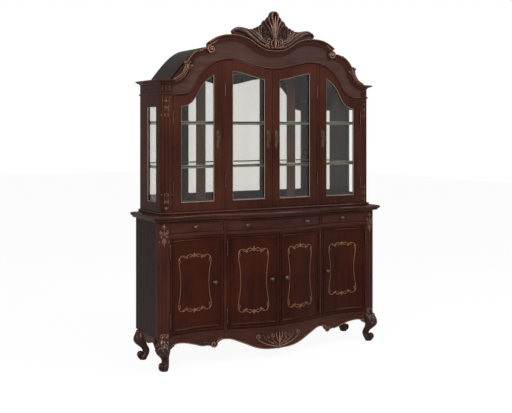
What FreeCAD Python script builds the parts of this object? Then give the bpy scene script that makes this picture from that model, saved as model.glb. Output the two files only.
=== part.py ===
import FreeCAD, Part
import math
import os
from FreeCAD import Vector

# China cabinet: a serpentine buffet on cabriole legs carrying a bonnet-topped glazed hutch.
# Millimetres, +Z up, front facing -Y, origin on the floor under the middle of the bounding box.

# ---- overall sizes ---------------------------------------------------------------------------
BUFFET_WIDTH = 1580.0        # across the outer faces of the buffet sides
HUTCH_WIDTH = 1524.0         # across the outer faces of the hutch sides
DEPTH = 468.0                # rear face to the nose of the buffet top at the middle
HUTCH_DEPTH = 345.0          # rear face to the flat face of the hutch doors
LEG_HEIGHT = 185.0
BUFFET_CASE_HEIGHT = 700.0   # top of the legs to the underside of the buffet top
HUTCH_SIDE_HEIGHT = 769.0    # height of the hutch sides above the hutch base board

# ---- boards, panels and running clearances ---------------------------------------------------
BOARD = 20.0                 # sides, doors, drawer fronts and face frame
BACK_BOARD = 6.0
GLASS = 4.0
MIRROR = 4.0
SHELF_GLASS = 6.0
DOOR_GAP = 2.0               # between a door edge and its frame
TOP_GAP = 3.0                # above an arched door
MEETING_GAP = 3.0            # between the two middle doors
FIT = 0.3                    # between curved or loose pieces that rest against each other

# ---- buffet ----------------------------------------------------------------------------------
TOP_THICKNESS = 33.0
TOP_OVERHANG = 38.0
TOP_STEP = 14.0              # how far the lower lip of the top stands back from its nose
POST_FACE = 73.0             # width of a front corner post
POST_CANT = 14.0             # how far the outer edge of a buffet post stands back
POST_DEPTH = 48.0
STILE = 19.0                 # fixed stile between a side bay and the middle bay
MIDDLE_BAY = 682.0           # between the two fixed stiles of the buffet
BOW = 63.0                   # forward bow of the middle doors
HOLLOW = 26.0                # backward hollow of the side doors
CASE_FLOOR = 17.0            # thickness of the buffet bottom board
CUPBOARD_HEIGHT = 587.0      # buffet floor to the rail under the drawers
RAIL = 20.0                  # rail between doors and drawers
DRAWER_HEIGHT = 62.0
DRAWER_DEPTH = 290.0
DRAWER_SIDE = 10.0
DRAWER_FLOOR = 6.0
DRAWER_PLAY = 1.0
DRAWER_GUIDE = 30.0          # height of the strips that steer the side drawers
DRAWER_INSET = 6.0           # drawer box inside the outline of its front
DRAWER_KNOBS = 217.0         # middle of the cabinet to each knob of the wide drawer
CUPBOARD_SHELF = 16.0
CUPBOARD_SHELF_SETBACK = 60.0
CUPBOARD_STILE = 66.0
KNOB_INSET = 53.0            # from the free edge of a cupboard door to its knob
KNOB_FOOT = 9.0
CUPBOARD_SHELF_HEIGHT = 290.0
APRON_THICKNESS = 22.0
APRON_DROP = 128.0           # drop of the apron at its middle, below the case
APRON_SIDE_DROP = 42.0       # drop of the apron between its scrolls
LEG_SECTIONS = (             # share of the leg height, reach along the leg's direction, radius
    (1.00, 12, 40), (0.86, 22, 41), (0.70, 24, 37), (0.52, 10, 25),
    (0.36, -6, 16), (0.22, -6, 14), (0.10, 10, 17), (0.00, 24, 18))

# ---- hutch -----------------------------------------------------------------------------------
HUTCH_BASE = 20.0
HUTCH_BASE_LIP = 13.0
HUTCH_POST_FACE = 72.0
HUTCH_POST_CANT = 25.0
HUTCH_POST_DEPTH = 60.0
REEDS = 3
REED_RISE = 6.0
REED_MARGIN = 8.0
MULLION = 19.0               # fixed stile between an outer door and the middle pair
HUTCH_MIDDLE_BAY = 680.0     # between the two fixed stiles of the hutch
DOOR_STILE = 53.0
DOOR_BOTTOM_RAIL = 52.0
DOOR_TOP_RAIL = 66.0
GLASS_REBATE = 7.0
SHOULDER_DROP = 69.0         # from the top of the hutch sides down to an outer door's shoulder
ARCH_RISE = 224.0            # from the shoulder to the high point of the arch
ARCH_DIP = 50.0              # from the high point down to the middle
ARCH_SHOULDER = 62.0         # flat length of the arch beside a corner post
SIDE_REAR_STILE = 120.0
SIDE_FRONT_STILE = 25.0
SIDE_BOTTOM_RAIL = 55.0
SIDE_TOP_RAIL = 137.0
SHELF_HEIGHTS = (271.0, 541.0)   # upper faces of the glass shelves above the hutch base board
CORNICE = 24.0
CORNICE_OVERHANG = 33.0
PEDIMENT_RISE = 288.0        # from the top of the cornice to the high point of the pediment
PEDIMENT_DIP = 88.0
PEDIMENT_BAND = 38.0         # height of the moulding that follows the pediment
PEDIMENT_OVERHANG = 30.0
BEAD_HEIGHT = 12.0
BEAD_REACH = 8.0
VOLUTE_RADIUS = 22.0
BONNET_RISE = 207.0          # from the top of the cornice to the flat of the roof
BONNET_SHOULDER = 250.0      # width of the curve at each side of the roof
ROOF = 10.0
CREST_HEIGHT = 252.0
CREST_HALF_WIDTH = 305.0
CREST_THICKNESS = 24.0

# ---- hardware --------------------------------------------------------------------------------
HINGE_LENGTH = 70.0
HINGE_LEAF = 0.8
OUTER_HINGE_LOW = 139.0      # hinges of the glass doors above the hutch base board
MIDDLE_HINGE_LOW = 177.0
OUTER_HINGE_DROP = 134.0     # upper hinges measured from the shoulder of the outer doors
MIDDLE_HINGE_RISE = 40.0
HINGE_LEAF_DEPTH = 17.0
KNUCKLE_RADIUS = 4.0
PIN_RADIUS = 1.5
PIN_PLAY = 0.2
KNUCKLE_GAP = 0.5
PULL_LENGTH = 105.0
PULL_WIDTH = 24.0
PULL_REACH = 26.0
PULL_PLATE = 4.0
PULL_GRIP = 5.0
KNOB_RADIUS = 15.0
KNOB_REACH = 27.0
KNOB_NECK = 5.0
SHELF_PIN_RADIUS = 3.0
SHELF_PIN_LENGTH = 14.0
BRACKET = 10.0

# ---- places worked out from the sizes --------------------------------------------------------
REAR = DEPTH / 2
NOSE = -DEPTH / 2
BUFFET_HALF = BUFFET_WIDTH / 2
BUFFET_INNER = BUFFET_HALF - BOARD
BAY_EDGE = BUFFET_HALF - POST_FACE
MIDDLE_EDGE = MIDDLE_BAY / 2
SIDE_EDGE = MIDDLE_EDGE + STILE
BOW_FACE = NOSE + TOP_OVERHANG
STILE_FACE = BOW_FACE + BOW
POST_OUTER = STILE_FACE + POST_CANT
CASE_BOTTOM = LEG_HEIGHT
CASE_TOP = CASE_BOTTOM + BUFFET_CASE_HEIGHT
FLOOR = CASE_BOTTOM + CASE_FLOOR
RAIL_BOTTOM = FLOOR + CUPBOARD_HEIGHT
DRAWER_BOTTOM = RAIL_BOTTOM + RAIL
DRAWER_TOP = DRAWER_BOTTOM + DRAWER_HEIGHT
TOP = CASE_TOP + TOP_THICKNESS
CASE_FRONT = max(STILE_FACE + HOLLOW + BOARD + DOOR_GAP, STILE_FACE + POST_DEPTH)  # behind every door
DECK = TOP + HUTCH_BASE
HUTCH_HALF = HUTCH_WIDTH / 2
HUTCH_INNER = HUTCH_HALF - BOARD
HUTCH_FACE = REAR - HUTCH_DEPTH
OUTER_EDGE = HUTCH_HALF - HUTCH_POST_FACE
INNER_EDGE = HUTCH_MIDDLE_BAY / 2 + MULLION
PAIR_EDGE = HUTCH_MIDDLE_BAY / 2
SIDE_TOP = DECK + HUTCH_SIDE_HEIGHT
CORNICE_TOP = SIDE_TOP + CORNICE
SHOULDER = SIDE_TOP - SHOULDER_DROP
ROOF_EDGE = OUTER_EDGE + ROOF
ROOF_TOP = CORNICE_TOP + BONNET_RISE


def box(x0, x1, y0, y1, z0, z1):
    return Part.makeBox(x1 - x0, y1 - y0, z1 - z0, Vector(x0, y0, z0))


def curve(points):
    """A smooth edge through a few points."""
    spline = Part.BSplineCurve()
    spline.interpolate([Vector(*p) for p in points])
    return spline.toShape()


def link(start, end):
    """A straight edge between two points, or nothing where they meet."""
    return [Part.makeLine(start, end)] if start.distanceToPoint(end) > 1e-6 else []


def face_of(edges):
    return Part.Face(Part.Wire(Part.__sortEdges__(edges)))


def plate(points, y0, y1):
    """A board whose outline is given as (x, z) corners."""
    corners = [Vector(x, y0, z) for x, z in points]
    return Part.Face(Part.makePolygon(corners + corners[:1])).extrude(Vector(0, y1 - y0, 0))


def slab(points, z0, z1):
    """A board whose plan is given as (x, y) corners."""
    corners = [Vector(x, y, z0) for x, y in points]
    return Part.Face(Part.makePolygon(corners + corners[:1])).extrude(Vector(0, 0, z1 - z0))


def mirrored(shape):
    return shape.mirror(Vector(0, 0, 0), Vector(1, 0, 0))


def both(shape):
    """A piece on the right and its twin on the left."""
    return [shape, mirrored(shape)]


def save(name, solids):
    Part.makeCompound(solids).exportStep("parts/" + name + ".step")


# ---- the serpentine front --------------------------------------------------------------------
def front_y(x):
    """Face of the buffet: a forward bow over the middle bay and a hollow over each side bay."""
    distance = abs(x)
    if distance <= SIDE_EDGE:
        return BOW_FACE + BOW * (distance / SIDE_EDGE) ** 2
    if distance <= BAY_EDGE:
        return STILE_FACE + HOLLOW * math.sin(math.pi * (distance - SIDE_EDGE) / (BAY_EDGE - SIDE_EDGE))
    return STILE_FACE + POST_CANT * (distance - BAY_EDGE) / POST_FACE


def front_curve(x0, x1, back=0.0, z=0.0):
    """The serpentine between two places, moved back by a distance."""
    count = 3 + int((x1 - x0) / 60)
    places = [x0 + (x1 - x0) * step / (count - 1) for step in range(count)]
    return curve([(x, front_y(x) + back, z) for x in places])


def front_piece(x0, x1, z0, z1, back=0.0, thickness=BOARD):
    """A board bent along the serpentine."""
    inner = front_curve(x0, x1, back + thickness, z0)
    inner.reverse()
    outer = front_curve(x0, x1, back, z0)
    ends = [Vector(x0, front_y(x0) + back, z0), Vector(x1, front_y(x1) + back, z0)]
    rears = [point + Vector(0, thickness, 0) for point in ends]
    edges = [outer, Part.makeLine(ends[1], rears[1]), inner, Part.makeLine(rears[0], ends[0])]
    return face_of(edges).extrude(Vector(0, 0, z1 - z0))


def front_board(half_width, overhang, y_rear, z0, z1):
    """A board with a serpentine front edge, canted front corners and a straight rear."""
    side = half_width + overhang
    pieces = []
    for x0, x1 in ((-BAY_EDGE, -SIDE_EDGE), (-SIDE_EDGE, SIDE_EDGE), (SIDE_EDGE, BAY_EDGE)):
        pieces.append(front_curve(x0, x1, -overhang, z0))
    corner = POST_OUTER - overhang
    outline = [
        (BAY_EDGE, STILE_FACE - overhang), (side, corner), (side, y_rear),
        (-side, y_rear), (-side, corner), (-BAY_EDGE, STILE_FACE - overhang)]
    lines = [
        Part.makeLine(Vector(*a, z0), Vector(*b, z0))
        for a, b in zip(outline[:-1], outline[1:])]
    return face_of(pieces + lines).extrude(Vector(0, 0, z1 - z0))


def bay_board(x0, x1, z0, z1):
    """A level board from behind the face frame to the back panel, notched round a corner post."""
    edge = min(x1, BAY_EDGE)
    back = BOARD + FIT
    rear = REAR - BACK_BOARD
    front = front_curve(x0, edge, back, z0)
    outline = [Vector(edge, front_y(edge) + back, z0)]
    if x1 > edge:
        post_rear = STILE_FACE + POST_DEPTH
        outline += [Vector(edge, post_rear, z0), Vector(x1, post_rear, z0)]
    outline += [Vector(x1, rear, z0), Vector(x0, rear, z0), Vector(x0, front_y(x0) + back, z0)]
    lines = [Part.makeLine(a, b) for a, b in zip(outline[:-1], outline[1:])]
    return face_of([front] + lines).extrude(Vector(0, 0, z1 - z0))


# ---- buffet case -----------------------------------------------------------------------------
def reeded_post(x0, x1, y0, cant, depth, z0, z1):
    """A canted corner post with a row of half-round reeds on its face."""
    along = Vector(x1 - x0, cant, 0)
    length = along.Length
    along.normalize()
    out = Vector(along.y, -along.x, 0)
    start = Vector(x0, y0, z0)
    width = (length - 2 * REED_MARGIN) / REEDS
    edges = [Part.makeLine(start, start + along * REED_MARGIN)]
    for index in range(REEDS):
        left = start + along * (REED_MARGIN + index * width)
        right = left + along * width
        crown = left + along * (width / 2) + out * REED_RISE
        edges.append(Part.Arc(left, crown, right).toShape())
    last = start + along * (length - REED_MARGIN)
    corners = [last, start + along * length, Vector(x1, y0 + depth, z0), Vector(x0, y0 + depth, z0), start]
    edges += [Part.makeLine(a, b) for a, b in zip(corners[:-1], corners[1:])]
    return Part.Face(Part.Wire(edges)).extrude(Vector(0, 0, z1 - z0))


def buffet_case():
    post_rear = STILE_FACE + POST_DEPTH
    side = box(BUFFET_INNER, BUFFET_HALF, post_rear, REAR, CASE_BOTTOM, CASE_TOP)
    save("buffet_sides", both(side))
    post = reeded_post(BAY_EDGE, BUFFET_HALF, STILE_FACE, POST_CANT, POST_DEPTH, CASE_BOTTOM, CASE_TOP)
    save("buffet_corner_posts", both(post))
    back = box(-BUFFET_INNER, BUFFET_INNER, REAR - BACK_BOARD, REAR, CASE_BOTTOM, CASE_TOP)
    save("buffet_back_panel", [back])
    middle = bay_board(-SIDE_EDGE, SIDE_EDGE, CASE_BOTTOM, FLOOR)
    wings = both(bay_board(SIDE_EDGE, BUFFET_INNER, CASE_BOTTOM, FLOOR))
    save("buffet_floor_board", [middle.fuse(wings).removeSplitter()])
    lip = front_board(BUFFET_HALF, TOP_OVERHANG - TOP_STEP, REAR, CASE_TOP, CASE_TOP + TOP_THICKNESS / 2)
    nose = front_board(BUFFET_HALF, TOP_OVERHANG, REAR, CASE_TOP + TOP_THICKNESS / 2, TOP)
    save("buffet_top", [lip.fuse(nose).removeSplitter()])


def buffet_frame():
    """Stiles between the bays, rails above and below the doors, and the walls between the bays."""
    stile = front_piece(MIDDLE_EDGE, SIDE_EDGE, CASE_BOTTOM, CASE_TOP)
    save("buffet_stiles", both(stile))
    rails = []
    for z0, z1 in ((CASE_BOTTOM, FLOOR), (RAIL_BOTTOM, DRAWER_BOTTOM), (DRAWER_TOP, CASE_TOP)):
        rails += both(front_piece(SIDE_EDGE, BAY_EDGE, z0, z1))
        rails.append(front_piece(-MIDDLE_EDGE, MIDDLE_EDGE, z0, z1))
    save("buffet_rails", rails)
    wall = box(MIDDLE_EDGE, SIDE_EDGE, STILE_FACE + BOARD + FIT, REAR - BACK_BOARD, FLOOR, CASE_TOP)
    save("buffet_partitions", both(wall))
    dust = bay_board(SIDE_EDGE, BUFFET_INNER, RAIL_BOTTOM, DRAWER_BOTTOM)
    middle = bay_board(-MIDDLE_EDGE, MIDDLE_EDGE, RAIL_BOTTOM, DRAWER_BOTTOM)
    save("drawer_dust_boards", both(dust) + [middle])


def drawer_guides():
    """Strips on the dust boards that steer the outer side of each side drawer."""
    inner = BAY_EDGE - DOOR_GAP - DRAWER_INSET + DRAWER_PLAY
    guide = box(
        inner, BUFFET_INNER, CASE_FRONT + DOOR_GAP, REAR - BACK_BOARD,
        DRAWER_BOTTOM, DRAWER_BOTTOM + DRAWER_GUIDE)
    save("drawer_guides", both(guide))


def cupboard_shelves():
    level = FLOOR + CUPBOARD_SHELF_HEIGHT
    front = CASE_FRONT + CUPBOARD_SHELF_SETBACK
    rear = REAR - BACK_BOARD
    side = box(SIDE_EDGE, BUFFET_INNER, front, rear, level, level + CUPBOARD_SHELF)
    middle = box(-MIDDLE_EDGE, MIDDLE_EDGE, front, rear, level, level + CUPBOARD_SHELF)
    save("cupboard_shelves", both(side) + [middle])


# ---- base ------------------------------------------------------------------------------------
def apron_outline():
    """Lower edge of the apron: a deep swag in the middle between two scrolls."""
    scroll = SIDE_EDGE + 62
    low = CASE_BOTTOM - APRON_DROP
    high = CASE_BOTTOM - APRON_SIDE_DROP
    middle = curve([
        (-scroll, 0, high - 34), (-SIDE_EDGE + 8, 0, high), (-SIDE_EDGE / 2, 0, high - 42),
        (0, 0, low), (SIDE_EDGE / 2, 0, high - 42), (SIDE_EDGE - 8, 0, high), (scroll, 0, high - 34)])
    shoulder = [
        (scroll, 0, high - 34), ((scroll + BAY_EDGE) / 2, 0, high - 8),
        (BAY_EDGE - 60, 0, high), (BAY_EDGE, 0, high - 30)]
    left = [(-x, y, z) for x, y, z in reversed(shoulder)]
    return curve(left), middle, curve(shoulder)


def aprons():
    left, middle, right = apron_outline()
    corners = [Vector(BAY_EDGE, 0, CASE_BOTTOM), Vector(-BAY_EDGE, 0, CASE_BOTTOM)]
    lines = [
        Part.makeLine(right.valueAt(right.LastParameter), corners[0]),
        Part.makeLine(corners[0], corners[1]),
        Part.makeLine(corners[1], left.valueAt(left.FirstParameter))]
    face = face_of([left, middle, right] + lines)
    face.translate(Vector(0, NOSE - BOARD, 0))
    cutter = face.extrude(Vector(0, DEPTH, 0))
    strips = []
    for x0, x1 in ((-BAY_EDGE, -SIDE_EDGE), (-SIDE_EDGE, SIDE_EDGE), (SIDE_EDGE, BAY_EDGE)):
        strip = front_piece(x0, x1, 0.0, CASE_BOTTOM, 2.0, APRON_THICKNESS)
        for leg in both(front_leg(FIT)):
            strip = strip.cut(leg)
        strips += strip.common(cutter).Solids
    save("front_apron", strips)
    front = STILE_FACE + POST_DEPTH + 40
    rear = REAR - 95
    middle_y = (front + rear) / 2
    side = [
        (front, CASE_BOTTOM), (rear, CASE_BOTTOM), (rear, CASE_BOTTOM - 60),
        (middle_y + 60, CASE_BOTTOM - 38),
        (middle_y, CASE_BOTTOM - 48), (middle_y - 60, CASE_BOTTOM - 38), (front, CASE_BOTTOM - 55)]
    points = [Vector(BUFFET_HALF - APRON_THICKNESS - 2, y, z) for y, z in side]
    board = Part.Face(Part.makePolygon(points + points[:1])).extrude(Vector(APRON_THICKNESS, 0, 0))
    save("side_aprons", both(board))


def cabriole_leg(x, y, direction, extra):
    """A leg that swells at the knee, draws in at the ankle and turns out at the toe."""
    rings = []
    for share, reach, radius in LEG_SECTIONS:
        centre = Vector(x + direction[0] * reach, y + direction[1] * reach, LEG_HEIGHT * share)
        rings.append(Part.Wire(Part.makeCircle(radius + extra, centre, Vector(0, 0, 1))))
    return Part.makeLoft(rings, True, False)


def front_leg(extra=0.0):
    return cabriole_leg(BUFFET_HALF - 52, POST_OUTER + 12, (0.707, -0.707), extra)


def legs():
    save("front_legs", both(front_leg()))
    rear = cabriole_leg(BUFFET_HALF - 46, REAR - 52, (0.8, 0.2), 0.0)
    save("rear_legs", both(rear))


# ---- hardware --------------------------------------------------------------------------------
def hinge_axis(edge, face):
    """Centre of the knuckles beside a door edge, just in front of the face."""
    return edge, face - KNUCKLE_RADIUS - FIT


def hinge(edge, face, opens_to, z):
    """A butt hinge on the right (-1) or left (+1) edge of an opening.

    edge is the middle of the gap and opens_to the side on which the door lies.
    Returns the fixed leaf with its pin and the leaf that turns with the door.
    """
    x, y = hinge_axis(edge, face)
    bottom = z - HINGE_LENGTH / 2
    third = HINGE_LENGTH / 3
    half_gap = DOOR_GAP / 2
    leaf_front = y + PIN_RADIUS + PIN_PLAY + FIT
    leaf_rear = face + HINGE_LEAF_DEPTH
    fixed_x = sorted((x - opens_to * half_gap, x - opens_to * (half_gap - HINGE_LEAF)))
    moving_x = sorted((x + opens_to * half_gap, x + opens_to * (half_gap - HINGE_LEAF)))
    knuckle = third - KNUCKLE_GAP
    fixed = Part.makeCylinder(PIN_RADIUS, HINGE_LENGTH, Vector(x, y, bottom))
    for z0 in (bottom, bottom + 2 * third + KNUCKLE_GAP):
        fixed = fixed.fuse(Part.makeCylinder(KNUCKLE_RADIUS, knuckle, Vector(x, y, z0)))
        fixed = fixed.fuse(box(*fixed_x, leaf_front, leaf_rear, z0, z0 + knuckle))
    plate_back = box(*fixed_x, face + FIT, leaf_rear, bottom, bottom + HINGE_LENGTH)
    fixed = fixed.fuse(plate_back).removeSplitter()
    middle = Part.makeCylinder(KNUCKLE_RADIUS, third, Vector(x, y, bottom + third))
    middle = middle.fuse(box(*moving_x, leaf_front, leaf_rear, bottom + third, bottom + 2 * third))
    middle = middle.fuse(box(*moving_x, face + FIT, leaf_rear, bottom, bottom + HINGE_LENGTH))
    bore = Part.makeCylinder(PIN_RADIUS + PIN_PLAY, third, Vector(x, y, bottom + third))
    return fixed, middle.cut(bore).removeSplitter()


def knob(x, y, z, seat):
    """A turned knob on a face at y; its foot is trimmed to the surface it sits on."""
    profile = [
        (0, -6), (KNOB_FOOT, -6), (KNOB_FOOT, 2), (KNOB_NECK, 5), (KNOB_NECK, 11),
        (KNOB_RADIUS, 16), (KNOB_RADIUS, KNOB_REACH - 5), (0, KNOB_REACH)]
    corners = [Vector(radius, 0, reach) for radius, reach in profile]
    outline = Part.Face(Part.makePolygon(corners + corners[:1]))
    turned = outline.revolve(Vector(0, 0, 0), Vector(0, 0, 1), 360)
    turned.rotate(Vector(0, 0, 0), Vector(1, 0, 0), 90)
    turned.translate(Vector(x, y, z))
    face = seat.copy()
    face.translate(Vector(0, -FIT, 0))
    return turned.cut(face)


def pull(x, z):
    """A tall bow pull on a flat door stile: a backplate, two feet and a grip."""
    half = PULL_LENGTH / 2
    grip_half = 0.36 * PULL_LENGTH
    foot_place = 0.32 * PULL_LENGTH
    grip_y = HUTCH_FACE - PULL_REACH + PULL_GRIP
    backplate = box(
        x - PULL_WIDTH / 2, x + PULL_WIDTH / 2, HUTCH_FACE - PULL_PLATE, HUTCH_FACE, z - half, z + half)
    solid = backplate.fuse(Part.makeCylinder(PULL_GRIP, 2 * grip_half, Vector(x, grip_y, z - grip_half)))
    for place in (z - foot_place, z + foot_place):
        base = Vector(x, HUTCH_FACE, place)
        foot = Part.makeCylinder(PULL_GRIP - 1, HUTCH_FACE - grip_y, base, Vector(0, -1, 0))
        solid = solid.fuse(foot)
    return solid


# ---- buffet doors and drawers ----------------------------------------------------------------
def buffet_doors():
    """Four framed doors that follow the serpentine, with their knobs and hinges."""
    z0 = FLOOR + DOOR_GAP
    z1 = RAIL_BOTTOM - DOOR_GAP
    hinge_heights = (z0 + 84, z1 - 84)
    knob_height = (z0 + z1) / 2
    side_door = (SIDE_EDGE + DOOR_GAP, BAY_EDGE - DOOR_GAP)
    middle_door = (MEETING_GAP / 2, MIDDLE_EDGE - DOOR_GAP)
    fixed = []
    for name, (inner, outer) in (("side", side_door), ("middle", middle_door)):
        frame = CUPBOARD_STILE
        stiles = [front_piece(inner, inner + frame, z0, z1), front_piece(outer - frame, outer, z0, z1)]
        rails = [
            front_piece(inner + frame, outer - frame, z0, z0 + frame),
            front_piece(inner + frame, outer - frame, z1 - frame, z1)]
        panel = front_piece(inner + frame, outer - frame, z0 + frame, z1 - frame, 4.0, BOARD - 6.0)
        right = stiles + rails + [panel]
        gap = outer + DOOR_GAP / 2
        face = min(front_y(outer + DOOR_GAP), front_y(outer - KNUCKLE_RADIUS))
        leaves = [hinge(gap, face, -1, z) for z in hinge_heights]
        knob_x = inner + KNOB_INSET
        hardware = [knob(knob_x, front_y(knob_x), knob_height, stiles[0])] + [leaf[1] for leaf in leaves]
        fixed += [leaf[0] for leaf in leaves] + [mirrored(leaf[0]) for leaf in leaves]
        save("right_" + name + "_cupboard_door", right)
        save("left_" + name + "_cupboard_door", [mirrored(piece) for piece in right])
        save("right_" + name + "_cupboard_hardware", hardware)
        save("left_" + name + "_cupboard_hardware", [mirrored(piece) for piece in hardware])
    return fixed


def drawer(x0, x1, knob_places):
    """A drawer between two places: a serpentine front, an open box behind it, and its knobs."""
    z0 = DRAWER_BOTTOM + DOOR_GAP
    z1 = DRAWER_TOP - DOOR_GAP
    rear = CASE_FRONT + DRAWER_DEPTH
    outline = [
        Vector(x0, front_y(x0), z0), Vector(x0, CASE_FRONT, z0),
        Vector(x1, CASE_FRONT, z0), Vector(x1, front_y(x1), z0)]
    lines = [Part.makeLine(a, b) for a, b in zip(outline[:-1], outline[1:])]
    front = face_of(lines + [front_curve(x0, x1, 0.0, z0)]).extrude(Vector(0, 0, z1 - z0))
    left = x0 + DRAWER_INSET
    right = x1 - DRAWER_INSET
    inner_left = left + DRAWER_SIDE
    inner_right = right - DRAWER_SIDE
    top = z1 - DRAWER_INSET
    base = DRAWER_BOTTOM + FIT
    inner_rear = rear - DRAWER_SIDE
    case = [
        box(left, inner_left, CASE_FRONT, rear, base, top),
        box(inner_right, right, CASE_FRONT, rear, base, top),
        box(inner_left, inner_right, inner_rear, rear, base, top),
        box(inner_left, inner_right, CASE_FRONT, inner_rear, base + 2, base + 2 + DRAWER_FLOOR)]
    knobs = [knob(x, front_y(x), (z0 + z1) / 2, front) for x in knob_places]
    return [front], case, knobs


def drawers():
    side = (SIDE_EDGE + DOOR_GAP, BAY_EDGE - DOOR_GAP)
    middle = MIDDLE_EDGE - DOOR_GAP
    bay = (side[0] + side[1]) / 2
    front, case, knobs = drawer(side[0], side[1], [bay])
    for place, copy in (("right", lambda piece: piece), ("left", mirrored)):
        save(place + "_drawer_front", [copy(piece) for piece in front])
        save(place + "_drawer_box", [copy(piece) for piece in case])
        save(place + "_drawer_knob", [copy(piece) for piece in knobs])
    front, case, knobs = drawer(-middle, middle, [-DRAWER_KNOBS, DRAWER_KNOBS])
    save("middle_drawer_front", front)
    save("middle_drawer_box", case)
    save("middle_drawer_knobs", knobs)


# ---- hutch case ------------------------------------------------------------------------------
def hutch_plan(overhang, x_inner=None):
    """Plan of the hutch with canted front corners, or only its right end from x_inner out."""
    side = HUTCH_HALF + overhang
    cant = HUTCH_FACE + HUTCH_POST_CANT - overhang
    right = [(OUTER_EDGE, HUTCH_FACE - overhang), (side, cant), (side, REAR)]
    if x_inner is None:
        return right + [(-x, y) for x, y in reversed(right)]
    return right + [(x_inner, REAR), (x_inner, HUTCH_FACE - overhang)]


def hutch_case():
    save("hutch_base_board", [slab(hutch_plan(HUTCH_BASE_LIP), TOP, DECK)])
    post = reeded_post(
        OUTER_EDGE, HUTCH_HALF, HUTCH_FACE, HUTCH_POST_CANT, HUTCH_POST_DEPTH, DECK, SIDE_TOP)
    save("hutch_corner_posts", both(post))
    front = HUTCH_FACE + HUTCH_POST_DEPTH
    glass_front = front + SIDE_FRONT_STILE
    glass_rear = REAR - SIDE_REAR_STILE
    rails_bottom = DECK + SIDE_BOTTOM_RAIL
    rails_top = SIDE_TOP - SIDE_TOP_RAIL
    frame = [
        box(HUTCH_INNER, HUTCH_HALF, front, glass_front, DECK, SIDE_TOP),
        box(HUTCH_INNER, HUTCH_HALF, glass_rear, REAR, DECK, SIDE_TOP),
        box(HUTCH_INNER, HUTCH_HALF, glass_front, glass_rear, DECK, rails_bottom),
        box(HUTCH_INNER, HUTCH_HALF, glass_front, glass_rear, rails_top, SIDE_TOP)]
    pane_x = HUTCH_HALF - 10
    pane = box(pane_x - GLASS, pane_x, glass_front, glass_rear, rails_bottom, rails_top)
    sides = []
    for member in frame:
        sides += both(member)
    save("hutch_side_frames", sides)
    save("side_glass_panes", both(pane))
    mullion = box(PAIR_EDGE, INNER_EDGE, HUTCH_FACE, HUTCH_FACE + BOARD, DECK, SHOULDER + 2 * ARCH_RISE)
    mullion = mullion.common(below_arch(0.0, HUTCH_FACE, HUTCH_FACE + BOARD))
    save("hutch_mullions", both(mullion))


def bonnet_curve(inset, y):
    """Rise of the roof on the right: a quarter sine wave from the cornice up to the flat."""
    steps = 6
    points = []
    for step in range(steps + 1):
        share = step / steps
        rise = (BONNET_RISE - inset) * math.sin(math.pi / 2 * share)
        points.append((ROOF_EDGE - inset - BONNET_SHOULDER * share, y, CORNICE_TOP + rise))
    return curve(points)


def bonnet_sheet(inset, y0, y1, z_bottom):
    """Everything under the roof line, as a board standing between two planes."""
    right = bonnet_curve(inset, y0)
    left = mirrored(right)
    start = right.valueAt(right.FirstParameter)
    crown = right.valueAt(right.LastParameter)
    feet = [Vector(start.x, y0, z_bottom), Vector(-start.x, y0, z_bottom)]
    lines = [Part.makeLine(*feet), Part.makeLine(crown, Vector(-crown.x, y0, crown.z))]
    lines += link(feet[0], start) + link(Vector(-start.x, y0, start.z), feet[1])
    return face_of([right, left] + lines).extrude(Vector(0, y1 - y0, 0))


def hutch_back_and_roof():
    """The bent roof in three boards, the back panel under it and the mirror before that."""
    outer = bonnet_sheet(0.0, HUTCH_FACE + BOARD, REAR, CORNICE_TOP)
    hollow = bonnet_sheet(ROOF, HUTCH_FACE, REAR + 1, CORNICE_TOP)
    roof = outer.cut(hollow)
    crown = ROOF_EDGE - ROOF - BONNET_SHOULDER
    flat = roof.common(box(-crown, crown, NOSE, REAR, CORNICE_TOP, ROOF_TOP))
    bent = roof.common(box(crown, ROOF_EDGE, NOSE, REAR, CORNICE_TOP, ROOF_TOP))
    save("bonnet_roof", flat.Solids + both(bent.Solids[0]))
    back_front = REAR - BACK_BOARD
    lower = box(-HUTCH_INNER, HUTCH_INNER, back_front, REAR, DECK, SIDE_TOP)
    save("hutch_back_panel", [lower, bonnet_sheet(ROOF + FIT, back_front, REAR, SIDE_TOP)])
    mirror_front = back_front - MIRROR
    glass = box(-HUTCH_INNER, HUTCH_INNER, mirror_front, back_front, DECK, SIDE_TOP)
    save("mirror", [glass, bonnet_sheet(ROOF + FIT, mirror_front, back_front, SIDE_TOP)])


# ---- arch, pediment and crest ----------------------------------------------------------------
def arch_curve(drop, y):
    """The line over the doors: flat, up in an ogee to a peak over each fixed stile, down to a dip."""
    peak = SHOULDER + ARCH_RISE - drop
    low = SHOULDER - drop
    flat = OUTER_EDGE - ARCH_SHOULDER
    peak_x = PAIR_EDGE - 22
    run = flat - peak_x
    half = [
        (0, peak - ARCH_DIP), (peak_x / 2, peak - ARCH_DIP / 2), (peak_x, peak),
        (peak_x + run * 0.31, peak - ARCH_RISE * 0.12), (peak_x + run * 0.62, peak - ARCH_RISE * 0.51),
        (peak_x + run * 0.82, low + ARCH_RISE * 0.09), (flat, low), (OUTER_EDGE, low)]
    points = [(-x, y, z) for x, z in reversed(half[1:])] + [(x, y, z) for x, z in half]
    return curve(points)


def below_arch(drop, y0, y1):
    """Everything under the arch down to the hutch floor."""
    arch = arch_curve(drop, y0)
    return under(arch, DECK - 100, y0, y1)


def under(edge, z, y0, y1):
    """Everything under a curve down to a height, between two planes."""
    first = edge.valueAt(edge.FirstParameter)
    last = edge.valueAt(edge.LastParameter)
    corners = [Vector(last.x, y0, z), Vector(first.x, y0, z)]
    lines = [Part.makeLine(last, corners[0]), Part.makeLine(*corners), Part.makeLine(corners[1], first)]
    return face_of([edge] + lines).extrude(Vector(0, y1 - y0, 0))


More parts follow.
